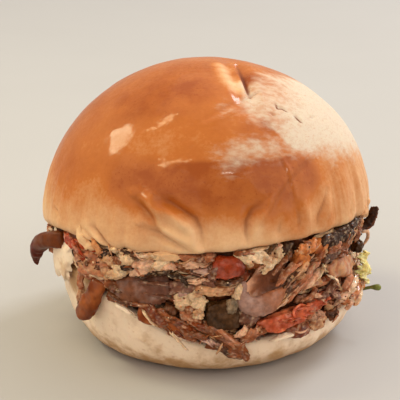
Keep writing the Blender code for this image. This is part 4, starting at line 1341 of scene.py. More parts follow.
class Finish:
    """A material whose patterns lie in the piece's own coordinates, with sizes in metres."""

    def __init__(self, name):
        self.material = bpy.data.materials.new(name)
        self.material.use_nodes = True
        self.tree = self.material.node_tree
        self.shader = self.tree.nodes["Principled BSDF"]
        self.place = self.tree.nodes.new("ShaderNodeTexCoord").outputs["Object"]

    def node(self, kind, inputs, **settings):
        made = self.tree.nodes.new(kind)
        for key, value in settings.items():
            setattr(made, key, value)
        for key, value in inputs.items():
            self.put(made.inputs[key], value)
        return made

    def put(self, socket, value):
        if isinstance(value, bpy.types.NodeSocket):
            self.tree.links.new(value, socket)
        else:
            socket.default_value = value

    def set(self, **values):
        """Sets or links the shader's own sockets, named with _ for a space."""
        for key, value in values.items():
            self.put(self.shader.inputs[key.replace("_", " ")], value)

    def tone(self):
        """The colour that the piece's points carry."""
        return self.node("ShaderNodeVertexColor", {}, layer_name="tone").outputs["Color"]

    def masks(self):
        """The three masks that the piece's points carry in place of a colour."""
        split = self.node("ShaderNodeSeparateColor", {"Color": self.tone()})
        return split.outputs["Red"], split.outputs["Green"], split.outputs["Blue"]

    def noise(self, size, detail=3.0, roughness=0.55, distortion=0.0, stretch=(1, 1, 1)):
        spot = self.node("ShaderNodeMapping", {"Vector": self.place, "Scale": stretch}).outputs[0]
        made = self.node("ShaderNodeTexNoise", {
            "Vector": spot, "Scale": 1 / size, "Detail": detail, "Roughness": roughness,
            "Distortion": distortion,
        })
        return made.outputs["Fac"]

    def band(self, value, low, high, bottom=0.0, top=1.0, shape="SMOOTHSTEP"):
        """Value from low to high, eased and turned into bottom to top."""
        made = self.node("ShaderNodeMapRange", {
            "Value": value, "From Min": low, "From Max": high, "To Min": bottom, "To Max": top,
        }, interpolation_type=shape)
        return made.outputs["Result"]

    def plus(self, first, second):
        return self.node("ShaderNodeMath", {0: first, 1: second}, operation="ADD").outputs[0]

    def times(self, first, second):
        return self.node("ShaderNodeMath", {0: first, 1: second}, operation="MULTIPLY").outputs[0]

    def mix(self, share, first, second, blend="MIX"):
        made = self.node(
            "ShaderNodeMix", {0: share, 6: first, 7: second}, data_type="RGBA", blend_type=blend
        )
        return made.outputs[2]

    def bump(self, height, depth, strength=1.0, under=None):
        inputs = {"Height": height, "Distance": depth, "Strength": strength}
        if under is not None:
            inputs["Normal"] = under
        return self.node("ShaderNodeBump", inputs).outputs["Normal"]


def opaque(colour):
    return (*colour, 1)


def crust_finish(bun):
    """Baked skin: the masks are how brown it is, how floury, and how dark its lines are."""
    finish = Finish("crown_crust")
    brown, flour, line = finish.masks()
    mottle = finish.noise(7 * MM, detail=4)
    fine = finish.noise(1.1 * MM, detail=4, roughness=0.65)
    speckle = finish.noise(0.55 * MM, detail=2)
    mottled = finish.band(mottle, 0.3, 0.7, -1, 1)
    level = finish.plus(brown, finish.times(mottled, finish.band(brown, 0.5, 0.9, 0.05, 0.14)))
    level = finish.plus(level, finish.band(fine, 0.35, 0.65, -0.03, 0.03))
    flecks = finish.band(finish.noise(0.8 * MM, detail=4, roughness=0.7), 0.55, 0.7)
    flecks = finish.times(flecks, finish.band(brown, 0.55, 0.85, 0.04, 0.3))
    level = finish.plus(level, flecks)
    skin = finish.mix(finish.band(level, 0.0, 0.52, shape="LINEAR"), opaque(bun.pale), opaque(bun.golden))
    skin = finish.mix(finish.band(level, 0.5, 1.0, shape="LINEAR"), skin, opaque(bun.brown))
    drift = finish.noise(1.5 * MM, detail=4, stretch=(0.5, 0.8, 1.2))
    patchy = finish.plus(flour, finish.band(drift, 0.3, 0.7, -0.15, 0.13))
    dust = finish.band(patchy, 0.06, 1.0, 0.0, 0.94)
    skin = finish.mix(dust, skin, opaque(bun.flour))
    pores = finish.times(finish.band(speckle, 0.56, 0.7), finish.band(flour, 0.2, 0.8, 0.05, 0.3))
    skin = finish.mix(pores, skin, opaque(bun.golden))
    lines = finish.noise(1.3 * MM, detail=3, roughness=0.6, distortion=1.4, stretch=(0.5, 0.5, 1.5))
    lines = finish.times(finish.band(lines, 0.57, 0.68), finish.band(flour, 0.3, 0.9, 0.0, 0.22))
    skin = finish.mix(lines, skin, opaque(bun.golden))
    # The crease lines: partly darker crust, partly painted shade in the creases.
    skin = finish.mix(finish.band(line, 0.05, 1.0, 0.0, 0.9), skin, opaque(bun.stain))
    rough = finish.band(fine, 0.3, 0.7, 0.42, 0.55)
    rough = finish.plus(rough, finish.times(dust, 0.3))
    gloss = finish.times(finish.band(brown, 0.36, 0.58), finish.band(dust, 0.0, 0.6, 1.0, 0.0))
    finish.set(
        Base_Color=skin, Roughness=rough, Coat_Weight=finish.times(gloss, bun.gloss),
        Coat_Roughness=0.08, Specular_IOR_Level=0.08, Subsurface_Weight=0.12, Subsurface_Scale=2 * MM,
        Subsurface_Radius=(1.0, 0.5, 0.25),
    )
    under = finish.bump(finish.noise(3.2 * MM, detail=3), 0.10 * MM)
    finish.set(Normal=finish.bump(fine, 0.05 * MM, under=under), Coat_Normal=finish.bump(mottle, 0.05 * MM))
    return finish.material


def heel_finish(bun):
    """Pale soft crust: the masks are how brown it is, how bare of skin, and how dark its lines are."""
    finish = Finish("heel_crust")
    brown, bare, line = finish.masks()
    mottle = finish.noise(5 * MM, detail=5, roughness=0.6)
    fine = finish.noise(0.9 * MM, detail=4, roughness=0.65)
    level = finish.plus(brown, finish.band(mottle, 0.35, 0.7, -0.2, 0.34))
    skin = finish.mix(finish.band(level, 0.0, 1.0), opaque(bun.heel), opaque(bun.heel_foot))
    freckles = finish.band(finish.noise(1.8 * MM, detail=3), 0.6, 0.72, 0, 0.25)
    skin = finish.mix(freckles, skin, opaque(bun.golden))
    skin = finish.mix(finish.band(bare, 0.0, 1.0, 0.0, 0.8), skin, opaque(bun.flour))
    skin = finish.mix(finish.band(line, 0.0, 1.0, 0.0, 0.8), skin, opaque(bun.stain))
    finish.set(
        Base_Color=skin, Roughness=finish.band(fine, 0.3, 0.7, 0.55, 0.72),
        Subsurface_Weight=0.15, Subsurface_Scale=2.5 * MM, Subsurface_Radius=(1.0, 0.6, 0.35),
    )
    under = finish.bump(mottle, 0.25 * MM)
    finish.set(Normal=finish.bump(fine, 0.06 * MM, under=under))
    return finish.material


def moist_finish(name):
    """Moist food: the points' own colours, made uneven, under a film of oil."""
    oil, smoothest, roughest, glow, grain_size, depth, variety = MOIST[name]
    finish = Finish(name)
    fine = finish.noise(grain_size * MM, detail=4, roughness=0.6)
    broad = finish.noise(3.5 * MM, detail=3)
    wet = finish.noise(2.4 * MM, detail=2)
    shade = finish.band(fine, 0.3, 0.7, 1 - variety, 1 + 0.6 * variety)
    drift = finish.band(broad, 0.3, 0.7, 1 - 0.5 * variety, 1 + 0.4 * variety)
    colour = finish.mix(1.0, finish.tone(), finish.times(shade, drift), blend="MULTIPLY")
    film = finish.band(wet, 0.46, 0.6, 0.0, oil)
    film = finish.times(film, finish.band(finish.tone(), 0.01, 0.08, 0.4, 1.0))
    finish.set(
        Base_Color=colour, Roughness=finish.band(broad, 0.35, 0.65, smoothest, roughest),
        Specular_IOR_Level=0.12, Coat_Weight=film, Coat_Roughness=0.09,
        Subsurface_Weight=glow, Subsurface_Scale=1.5 * MM, Subsurface_Radius=(1.0, 0.4, 0.2),
    )
    under = finish.bump(broad, 0.3 * depth * MM)
    finish.set(Normal=finish.bump(fine, depth * MM, under=under))
    return finish.material


# ---- Pieces ----------------------------------------------------------------------------------

def add_piece(name, bm, finish, slot, *nodes):
    """Makes a finished object that rides on the sandwich and stands for the solids named."""
    mesh = bpy.data.meshes.new(name)
    bm.to_mesh(mesh)
    bm.free()
    mesh.shade_smooth()
    mesh.materials.append(finish)
    piece = bpy.data.objects.new(name, mesh)
    bpy.context.scene.collection.objects.link(piece)
    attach(piece, BODY)
    if nodes:
        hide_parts(*nodes)
    return piece


def dot(first, second):
    return sum(one * other for one, other in zip(first, second))


def on_dome(right, down):
    """The place on the dome, in mm, that a pixel of the photo shows."""
    radius, waist, rise = PHOTO_DOME
    right = (right - PHOTO_MIDDLE[0]) / PHOTO_SCALE
    up = (PHOTO_MIDDLE[1] - down) / PHOTO_SCALE
    cosine, sine = math.cos(PHOTO_TILT), math.sin(PHOTO_TILT)
    eye = (0, -PHOTO_DISTANCE * cosine, PHOTO_AIM + PHOTO_DISTANCE * sine)
    ray = (right, PHOTO_DISTANCE * cosine + up * sine, up * cosine - PHOTO_DISTANCE * sine)
    # The same line where the dome is a ball of radius 1, and the share of it up to the ball.
    start = (0, eye[1] / radius, (eye[2] - waist) / rise)
    run = (ray[0] / radius, ray[1] / radius, ray[2] / rise)
    length, towards = dot(run, run), -dot(start, run)
    share = (towards - math.sqrt(towards**2 - length * (dot(start, start) - 1))) / length
    return [place + share * step for place, step in zip(eye, ray)]


def side_place(right, down):
    """The angle and the height that a pixel shows on the crown's side, to a tenth."""
    x, y, z = on_dome(right, down)
    return round(math.atan2(y, x) / DEGREE % 360, 1), round(z, 1)


def top_place(right, down):
    """The X and Y that a pixel shows on the crown's top, to a tenth of a mm."""
    x, y, _ = on_dome(right, down)
    return round(x, 1), round(y, 1)


def unrolled(angle, height):
    """A place on the crown's side as mm round it and up."""
    return angle * MM_PER_DEGREE, height


def traced(creases, turned):
    """The creases with every place of their routes turned."""
    return tuple((tuple(turned(*place) for place in route), *shape) for route, *shape in creases)


SIDE_CREASES = traced(traced(FRONT_CREASES, side_place) + BACK_CREASES, unrolled)
TOP_CREASES = (TOP_FOLD, *traced(TOP_CRACKS, top_place))


def off_route(route, x, y):
    """How far a point lies left of a route (below 0: right) and how far along, 0 to 1."""
    here = Vector((x, y))
    best = None
    for index, (start, end) in enumerate(zip(route, route[1:])):
        start, run = Vector(start), Vector(end) - Vector(start)
        share = min(max((here - start).dot(run) / run.length_squared, 0), 1)
        away = here - start - run * share
        if best is None or away.length < abs(best[0]):
            side = 1 if run.cross(away) > 0 else -1
            best = (side * away.length, (index + share) / (len(route) - 1))
    return best


def crease_relief(creases, x, y):
    """How far creases lift the skin, in mm, and how dark their lines are."""
    lift = darkness = 0.0
    for route, width, depth, lip, stain in creases:
        reach = 5 * width + 1
        xs, ys = zip(*route)
        if not (min(xs) - reach < x < max(xs) + reach and min(ys) - reach < y < max(ys) + reach):
            continue
        away, along = off_route(route, x, y)
        ends = math.sin(math.pi * (0.06 + 0.88 * along)) ** 0.6
        valley = math.exp(-((away / width) ** 2))
        side = 1 if lip > 0 else -1
        ridge = math.exp(-(((away * side - 1.7 * width) / (1.3 * width)) ** 2))
        lift += ends * (abs(lip) * ridge - depth * valley)
        darkness += ends * stain * math.exp(-((away / (0.6 * width)) ** 2))
    return lift, darkness


def skin_creases(point, angle):
    """The creases' lift in mm and stain at a point of the crown."""
    if point.z > SIDE_CREASES_TOP:
        return crease_relief(TOP_CREASES, point.x / MM, point.y / MM)
    return crease_relief(SIDE_CREASES, angle / DEGREE % 360 * MM_PER_DEGREE, point.z / MM)


def dome_normal(point):
    rise = CROWN_TOP - CROWN_WAIST
    return Vector((
        point.x / CROWN_RADIUS**2, point.y / CROWN_RADIUS**2, (point.z - CROWN_WAIST) / rise**2,
    )).normalized()


def fine_crown_point(angle, ring):
    place = in_solid_rings(ring, FINE_CROWN_RINGS, CROWN_RINGS)
    point = crown_point(angle, place)
    on_skin = eased(CROWN_RINGS[0] + 3 - place, 0, 2.5)
    if on_skin:
        waves = grain(point, WAVE_SIZE, 2) * bpy.context.scene.sandwich_bun.wrinkle
        pleat = grain(Vector((angle / DEGREE / PLEAT_WIDTH, point.z / PLEAT_HEIGHT, 0)), 1, 2)
        pleat *= PLEAT_DEPTH * eased(point.z, *PLEAT_SPAN)
        lift = skin_creases(point, angle)[0] * MM + PORE_DEPTH * grain(point, PORE_SIZE)
        point += dome_normal(point) * (waves + pleat + lift - SKIN_SINK) * on_skin
    return point


def patches_at(patches, point):
    """How strong the strongest of the patches is at a point."""
    strongest = 0.0
    for x, y, z, reach, amount in patches:
        away = (point / MM - Vector((x, y, z))).length
        strongest = max(strongest, amount * fade(away, 1.5 * reach))
    return strongest


def band_at(degrees, height):
    """How strong the crown's band across the front is, 0 to 1: browner crust with painted shade and painted
    dark reflection.
    """
    strength = 0.0
    for (start, low, high), (end, next_low, next_high) in zip(BAND, BAND[1:]):
        if start <= degrees < end:
            share = (degrees - start) / (end - start)
            low += (next_low - low) * share
            high += (next_high - high) * share
            softness = 0.8 + 0.16 * max(262 - degrees, degrees - 306, 0)
            strength = eased(height, low - 7, low + 5) * eased(height, high + softness, high - softness)
    first, last = BAND[0][0], BAND[-1][0]
    return strength * eased(degrees, first, first + 16) * eased(degrees, last, last - 8)


def flour_at(point, degrees):
    """How floury the crown's skin is, 0 to 1."""
    if degrees < FLOUR_EDGE[-1][0] - 360:
        degrees += 360
    x, y, height = (level / MM for level in point)
    uneven = 1.6 * grain(point, 7 * MM)
    strength = 0.0
    for (start, low), (end, next_low) in zip(FLOUR_EDGE, FLOUR_EDGE[1:]):
        if start <= degrees < end:
            low += (next_low - low) * (degrees - start) / (end - start)
            soft = 2.6 + 5.0 * eased(degrees, 308, 330)
            strength = eased(height + uneven, low - soft, low + 0.4 * soft + 2)
    left, turn, slope = FLOUR_LEFT
    strength *= 0.8 + 0.2 * eased(x + uneven, 20, 34)
    left += slope * max(y - turn, 0)
    soft = 1 + 2.2 * eased(y, -6, 14)
    return strength * eased(x + uneven * soft, left - 1.5 * soft, left + 5.5 * soft)


def crown_tint(point, angle, ring):
    """How brown, how floury and how dark in its creases the crown's skin is."""
    degrees = angle / DEGREE % 360
    height = point.z / MM + 1.2 * grain(point, 9 * MM)
    least, more, low, high = DOME_BROWN
    brown = least + more * min(max((height - low) / (high - low), 0), 1)
    brown -= 0.2 * eased(point.x / MM - 0.25 * point.y / MM, 32, 48) * eased(height, 46, 58)
    # Painted shade and painted dark reflection across the front, on partly browner crust.
    brown += BAND_AMOUNT * band_at(degrees, height)
    # The pale patches are partly paler crust and partly painted highlights.
    brown += patches_at(BROWN_PATCHES, point) - patches_at(PALE_PATCHES, point)
    place = in_solid_rings(ring, FINE_CROWN_RINGS, CROWN_RINGS)
    inside = eased(place, CROWN_RINGS[0] + 2.2, CROWN_RINGS[0] + 3.6)
    flour = flour_at(point, degrees) * (1 - patches_at(THIN_PATCHES, point))
    flour = max(flour, patches_at(DUSTED_PATCHES, point))
    lift, stain = skin_creases(point, angle)
    # Painted highlight: where a crease lifts the skin, its ridge is made paler.
    brown -= 0.1 * max(lift, 0)
    ribs = noise.noise(Vector((angle / DEGREE / 1.5, height / 20, 3)))
    brown += 0.2 * ribs * eased(degrees, 312, 322) * eased(height, 64, 56)
    return brown * (1 - inside), max(flour, inside), stain * (1 - inside)


def fine_heel_point(angle, ring):
    place = in_solid_rings(ring, FINE_HEEL_RINGS, HEEL_RINGS)
    point = heel_point(angle, place)
    cut, lip, wall = HEEL_RINGS[:3]
    on_wall = eased(place, cut + 1, cut + lip) * eased(cut + lip + wall - 1 - place, 0, 2)
    if on_wall:
        bumps = SWELL_DEPTH * grain(point, SWELL_SIZE) + DENT_DEPTH * grain(point, DENT_SIZE)
        point += polar(angle, 1, 0) * (bumps - SKIN_SINK) * on_wall
    return point


def heel_tint(point, angle, ring):
    """How brown the heel is, how much bare crumb it shows, and its lines."""
    height = point.z / MM + 1.5 * grain(point, 6 * MM)
    brown = 0.9 * eased(height, 12, 1) + 0.12 * eased(height, 12, 26) + patches_at(HEEL_PATCHES, point)
    place = in_solid_rings(ring, FINE_HEEL_RINGS, HEEL_RINGS)
    cut, lip = HEEL_RINGS[:2]
    bare = eased(cut + 0.45 * lip - place, -1, 1)
    return brown, bare, 0.0


def core_relief(angle, ring):
    """The core's points, bulged and made uneven on its side."""
    place = ring / CORE_NET[1] * sum(CORE_RINGS)
    point = core_point(angle, place)
    side = eased(place, 2.5, 4) * eased(place, 9.5, 8)
    bumps = CORE_BUMP_DEPTH * grain(point, CORE_BUMP_SIZE) + CORE_GROWTH
    return point + polar(angle, 1, 0) * bumps * side


def search_tree(*pieces):
    """A search tree of the pieces' faces."""
    points, faces = [], []
    for piece in pieces:
        start = len(points)
        points += [vert.co.copy() for vert in piece.data.vertices]
        faces += [[start + index for index in face.vertices] for face in piece.data.polygons]
    return BVHTree.FromPolygons(points, faces)


def streaked(base, edge_colour, seed, fibre=7.0, rim=0.75):
    """A tint for a meat slice: streaked along its fibres, its rim browned in places."""
    def tint(point, s, t, side):
        streak = noise.noise(Vector((1.6 * s + seed, fibre * t, seed)))
        colour = dimmed(base, 1 + 0.26 * streak)
        worn = grain(point, 3.2 * MM)
        edge = eased(max(abs(s), abs(t)) + 0.25 * worn, rim, 1.05)
        return blended(colour, edge_colour, 0.5 * edge)

    return tint


def blotched(first, second, dark, size, seed=0.0, dark_share=0.3):
    """A tint that runs unevenly between two colours, with dark spots; size is in mm."""
    size *= MM

    def tint(point, *_):
        shift = Vector((seed, 0, 0))
        share = eased(grain(point + shift, size, 2), -0.5, 0.5)
        spots = eased(grain(point + shift, 0.6 * size, 2), 0.75 - dark_share, 1.1 - dark_share)
        return blended(blended(first, second, share), dark, 0.7 * spots)

    return tint


def rings(first, second, angle, height, step):
    """A tint of rings round a place on the side, like the grain of a rolled slice."""
    middle = side_spot(angle, height)

    def tint(point, *_):
        away = (point - middle).length + 0.6 * MM * grain(point, 3 * MM, 2)
        share = 0.5 + 0.5 * math.sin(away / (step * MM) * TURN)
        return blended(first, second, share)

    return tint


def run_between(first, second, low, high, dark):
    """A tint that runs along a piece from one colour to another, with a few dark spots."""
    def tint(point, s, *_):
        share = eased(s + 0.35 * grain(point, 4 * MM, 2), low, high)
        spots = eased(grain(point, 2.2 * MM), 0.35, 0.8)
        return blended(blended(first, second, share), dark, 0.5 * spots)

    return tint


def patched(tint, colour, size):
    """A tint with soft patches of another colour, each about size mm across."""
    def patchy(point, *place):
        share = 0.8 * eased(grain(point, size * MM, 2), 0.0, 0.6)
        return blended(tint(point, *place), colour, share)

    return patchy


def hollowed(bm, angle, height, reach, depth, tint):
    """The form with a round hollow pressed in at a place on the side, and painted darker with tint as
    painted shade in the hollow.
    """
    middle = side_spot(angle, height)
    tone = bm.verts.layers.float_color["tone"]
    for vert in bm.verts:
        sunk = fade((vert.co - middle).length + 0.8 * MM * grain(vert.co, 3 * MM, 2), reach * MM)
        inwards = Vector((-vert.co.x, -vert.co.y, 0)).normalized()
        vert.co += inwards * depth * MM * sunk
        vert[tone] = (*blended(vert[tone][:3], tint, min(1.6 * sunk, 1)), 1)
    return bm


def meat_palette(fill):
    """The base and the edge colours that slices and shreds may have."""
    return (
        (fill.tan, fill.brown), (fill.rose, fill.tan), (fill.brown, fill.dark),
        (fill.dark, fill.char), (fill.brown, fill.tan), (fill.blush, fill.rose),
    )


def flake_colours(fill, top):
    """The base and the rim colour of each tone."""
    return {
        "tan": (fill.tan, fill.brown), "rose": (fill.rose, fill.brown), "blush": (fill.blush, fill.rose),
        "brown": (fill.brown, fill.dark), "dark": (fill.dark, fill.char), "char": (fill.char, fill.char),
        "plum": (fill.plum, fill.dark), "lilac": (fill.lilac, fill.plum), "pale": (fill.pale, fill.tan),
        "cream": (fill.cream, fill.tan), "amber": (top.pepper_bright, top.pepper),
        "pepper": (top.pepper, top.pepper_dark), "red": (top.tomato, top.pepper),
        "pickle": (top.pickle, fill.char), "olive": (top.pickle_pale, top.pickle),
    }


def flake_tint(base, rim, fill, seed):
    """Streaks between a flake's two colours, and a browned rim."""
    pale = blended(base, fill.pale, 0.4)
    dark = blended(rim, fill.char, 0.35)

    def tint(point, s, t, side):
        shift = Vector((0.01 * seed, 0, 0))
        broad = grain(point + shift, 3.5 * MM)
        fine = grain(point - shift, 1.1 * MM, 2)
        streak = noise.noise(Vector((1.5 * s + seed, 5 * t, seed)))
        colour = blended(base, rim, eased(broad + 0.4 * streak, -0.1, 0.8))
        colour = blended(colour, pale, eased(fine - 0.5 * streak, 0.05, 0.7))
        edge = eased(max(abs(s), abs(t)) + 0.3 * fine, 0.75, 1.1)
        return dimmed(blended(colour, dark, 0.15 * edge), 1 + 0.2 * streak)

    return tint


def random_flakes(count):
    """Flakes laid at random all round, each with its seed, with none where large pieces show."""
    draw = random.Random(BITS_SEED)
    tones, weights = list(FLAKE_TONES), list(FLAKE_TONES.values())
    for seed in range(count):
        angle = draw.uniform(0, 360)
        share = draw.uniform(0, 1)
        lift = draw.uniform(*FLAKE_LIFT) / MM
        length, width = draw.uniform(*FLAKE_LENGTH) / MM, draw.uniform(*FLAKE_WIDTH) / MM
        lean = draw.gauss(0, 20)
        tone = draw.choices(tones, weights)[0]
        if FRONT_SPAN[0] < angle < FRONT_SPAN[1]:
            lift = min(lift, FRONT_LIFT)
        low = heel_over(angle * DEGREE, CORE_RADIUS) / MM
        high = crown_under(angle * DEGREE, CORE_RADIUS) / MM
        height = low + (high - low) * (0.02 + 0.96 * share)
        if not is_clear(angle, height):
            yield seed, Flake(angle, height, lift, length, width, lean, tone)


def add_bread(name, rings, segments, place, tint, flaps, finish, slot, node):
    """Adds one half of the bun, and the flaps of its skin."""
    form = ball(segments, sum(rings), place, tint, FRONT_DENSITY)
    add_piece(name, form, finish, slot, node)
    forms = [flap_form(flap, seed) for seed, flap in enumerate(flaps)]
    add_piece(f"{name}_flaps", join(forms), finish, slot, node)


def add_halves(names, forms, finish):
    """Adds scattered forms as two pieces, so that neither has too many faces."""
    middle = len(forms) // 2
    for name, half in zip(names, (forms[:middle], forms[middle:])):
        add_piece(name, join(half), finish, "shaved_meat")


def side_form(name, tint, relief, size, **shape):
    """The fine form of a leaf, chunk or strip, with bumps relief deep and size across in mm."""
    for pieces, make in ((LEAVES, leaf_form), (CHUNKS, chunk_form), (STRIPS, strip_form)):
        if name in pieces:
            return roughen(make(pieces[name], tint, **shape), relief, size)
    raise KeyError(name)


def add_side(name, tint, finish, slot, relief, size, more=(), **shape):
    """Adds the fine form that stands for a solid on the side, with more forms joined to it."""
    form = side_form(name, tint, relief, size, **shape)
    add_piece(f"fine_{name}", join([form, *more]) if more else form, finish, slot, name)


class SandwichOperator:
    """What the sandwich's operators share."""

    bl_options = {"REGISTER", "UNDO"}


class SANDWICH_OT_crown(SandwichOperator, bpy.types.Operator):
    """Make the domed crown with its folds, creases, browned skin and flour"""

    bl_idname = "sandwich.crown"
    bl_label = "Crown"

    def execute(self, context):
        add_bread(
            "crown", FINE_CROWN_RINGS, FINE_CROWN_SEGMENTS, fine_crown_point, crown_tint, CROWN_FLAPS,
            crust_finish(context.scene.sandwich_bun), "crown_crust", "bun_top",
        )
        return {"FINISHED"}


class SANDWICH_OT_heel(SandwichOperator, bpy.types.Operator):
    """Make the pale heel that holds the filling"""

    bl_idname = "sandwich.heel"
    bl_label = "Heel"

    def execute(self, context):
        add_bread(
            "heel", FINE_HEEL_RINGS, FINE_HEEL_SEGMENTS, fine_heel_point, heel_tint, HEEL_FLAPS,
            heel_finish(context.scene.sandwich_bun), "heel_crust", "bun_bottom",
        )
        return {"FINISHED"}


class SANDWICH_OT_heap(SandwichOperator, bpy.types.Operator):
    """Make the heap of shaved meat: its core, its slices and the cream on it"""

    bl_idname = "sandwich.heap"
    bl_label = "Meat heap"

    def execute(self, context):
        fill = values_of(context.scene.sandwich_filling)
        meat = moist_finish("shaved_meat")
        core = ball(*CORE_NET, core_relief, blotched(fill.core, fill.brown, fill.dark, 3))
        add_piece("heap_core", core, meat, "shaved_meat", "meat_heap")
        draw = random.Random(BITS_SEED)
        slices = []
        for piece in heap_slices(search_tree(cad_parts["meat_heap"])):
            base, edge = draw.choice(meat_palette(fill))
            tint = streaked(base, edge, draw.uniform(0, 9))
            form = slab(SLICE_NET, slice_place(piece, fine=True), tint)
            slices.append(roughen(form, 0.22, 1.6))
        add_piece("heap_slices", join(slices), meat, "shaved_meat", "meat_heap")
        tint = blotched(fill.cream, dimmed(fill.cream, 0.78), fill.brown, 3, dark_share=0.15)
        clumps = [clump_form(clump, tint) for clump in CLUMPS]
        add_piece("cream_clumps", join(clumps), moist_finish("cream_sauce"), "shaved_meat", "meat_heap")
        return {"FINISHED"}


class SANDWICH_OT_flakes(SandwichOperator, bpy.types.Operator):
    """Lay torn flakes of meat, vegetable and cream over the heap"""

    bl_idname = "sandwich.flakes"
    bl_label = "Flakes"

    def execute(self, context):
        fill = values_of(context.scene.sandwich_filling)
        colours = flake_colours(fill, values_of(context.scene.sandwich_toppings))
        finish = moist_finish("torn_flakes")
        forms = []
        for seed, row in enumerate(FRONT_FLAKES):
            flake = Flake(*row)
            tint = flake_tint(*colours[flake.tone], fill, seed)
            forms.append(torn(flake_form(flake, seed, tint, FRONT_FLAKE_NET, FLAKE_GROWTH)))
        add_halves(("front_flakes_left", "front_flakes_right"), forms, finish)
        forms = []
        for seed, flake in random_flakes(fill.flakes):
            tint = flake_tint(*colours[flake.tone], fill, seed)
            forms.append(torn(flake_form(flake, seed + RANDOM_SEEDS, tint)))
        add_halves(("flakes_first", "flakes_second"), forms, finish)
        return {"FINISHED"}


class SANDWICH_OT_slices(SandwichOperator, bpy.types.Operator):
    """Make the larger meat slices on the side"""

    bl_idname = "sandwich.slices"
    bl_label = "Large slices"

    def execute(self, context):
        fill = values_of(context.scene.sandwich_filling)
        meat, slot = moist_finish("roast_meat"), "roast_meat"
        char = moist_finish("charred_meat")
        tint = run_between(dimmed(fill.rose, 0.46), fill.plum, -0.3, 0.2, dimmed(fill.dark, 0.8))
        tint = patched(tint, dimmed(fill.lilac, 0.55), 3.4)
        add_side("dark_slice", tint, meat, slot, 0.55, 2.8)
        tint = blotched(fill.rose, fill.blush, fill.brown, 6, 0.1, 0.1)
        form = side_form("folded_slice", tint, 0.3, 2.8)
        # Painted shade: the hollow is painted browner and darker as well as pressed in.
        form = hollowed(form, *FOLD_HOLLOW, blended(fill.brown, fill.plum, 0.6))
        tint = run_between(dimmed(fill.lilac, 0.7), dimmed(fill.rose, 0.76), -0.2, 0.8, fill.brown)
        lip = roughen(strip_form(FOLD_LIP, tint, curl=0.8, taper=0.6), 0.5, 4)
        add_piece("fine_folded_slice", join([form, lip]), meat, slot, "folded_slice")
        tint = rings(dimmed(fill.tan, 0.86), fill.rose, 326, 29, 2.6)
        add_side("tan_slice", tint, meat, slot, 0.3, 2.8)
        tint = blotched(fill.char, fill.dark, fill.char, 3)
        add_side("charred_slice", tint, char, "charred_meat", 0.3, 2.8)
        tint = blotched(fill.rose, fill.tan, fill.dark, 2.2, dark_share=0.2)
        add_side("meat_chunk", tint, meat, slot, 0.4, 1.6)
        tint = streaked(dimmed(fill.brown, 0.85), fill.dark, 4.0)
        add_side("hanging_slice", tint, meat, slot, 0.3, 1.6, point=0.5)
        tint = streaked(fill.char, fill.brown, 1.0)
        add_side("crisp_bit", tint, char, "charred_meat", 0.45, 1.4)
        return {"FINISHED"}


class SANDWICH_OT_tomatoes(SandwichOperator, bpy.types.Operator):
    """Make the tomato pieces"""

    bl_idname = "sandwich.tomatoes"
    bl_label = "Tomatoes"

    def execute(self, context):
        top = values_of(context.scene.sandwich_toppings)
        wet, slot = moist_finish("tomato_flesh"), "tomato"
        spots = dimmed(top.tomato, 0.5)
        flesh = blended(dimmed(top.tomato, 0.95), top.pepper, 0.3)
        tint = run_between(flesh, dimmed(top.tomato, 0.4), 0.6, 1.1, spots)
        add_side("tomato_front", tint, wet, slot, 0.45, 2.8)
        flesh = blended(top.tomato, top.tomato_pale, 0.2)
        tint = blotched(flesh, top.tomato_pale, spots, 4, 1)
        fringe = roughen(leaf_form(TOMATO_FRINGE, tint, ruffle=1.1), 0.3, 1.6)
        pale = blotched(top.tomato_pale, dimmed(top.tomato, 1.3), top.tomato, 2)
        curls = [curl_form(*curl, pale) for curl in TOMATO_CURLS]
        add_side("tomato_low", tint, wet, slot, 0.45, 2.8, [fringe, *curls])
        tint = blotched(flesh, top.tomato_pale, spots, 4, 2)
        add_side("tomato_back", tint, wet, slot, 0.45, 2.8)
        tint = blotched(top.tomato, top.tomato_pale, spots, 2.5)
        add_side("tomato_left", tint, wet, slot, 0.3, 1.5)
        return {"FINISHED"}


class SANDWICH_OT_peppers(SandwichOperator, bpy.types.Operator):
    """Make the roast pepper strips and bits"""

    bl_idname = "sandwich.peppers"
    bl_label = "Roast peppers"

    def execute(self, context):
        top = values_of(context.scene.sandwich_toppings)
        skin, slot = moist_finish("pepper_skin"), "roast_pepper"
        pepper, bright, dark = top.pepper, top.pepper_bright, top.pepper_dark
        warm = blended(pepper, bright, 0.3)
        olive = blended(pepper, top.pickle_pale, 0.5)
        tint = run_between(olive, dark, -0.5, 0.1, dimmed(dark, 0.5))
        add_side("pepper_claw", tint, skin, slot, 0.25, 3.4, curl=0.5, point=CLAW_POINT)
        for name, tint in (
            ("pepper_strip", blotched(dimmed(pepper, 0.72), warm, dark, 7, 0.01, 0.16)),
            ("pepper_low", blotched(warm, pepper, dark, 3, 0.02, 0.25)),
            ("pepper_back", blotched(pepper, bright, dark, 4, 0.03, 0.2)),
        ):
            add_side(name, tint, skin, slot, 0.25, 3.4, curl=0.5)
        for name, first, second in (("orange_bit", bright, pepper), ("pepper_right", pepper, bright)):
            add_side(name, blotched(first, second, dark, 3, 0.04, 0.12), skin, slot, 0.3, 1.6)
        orange = blended(bright, ORANGE_LAYER, 0.5)
        tint = blotched(orange, blended(pepper, bright, 0.4), dark, 3, 0.05, 0.1)
        add_side("orange_slice", tint, skin, slot, 0.3, 2, ruffle=0.4)
        return {"FINISHED"}


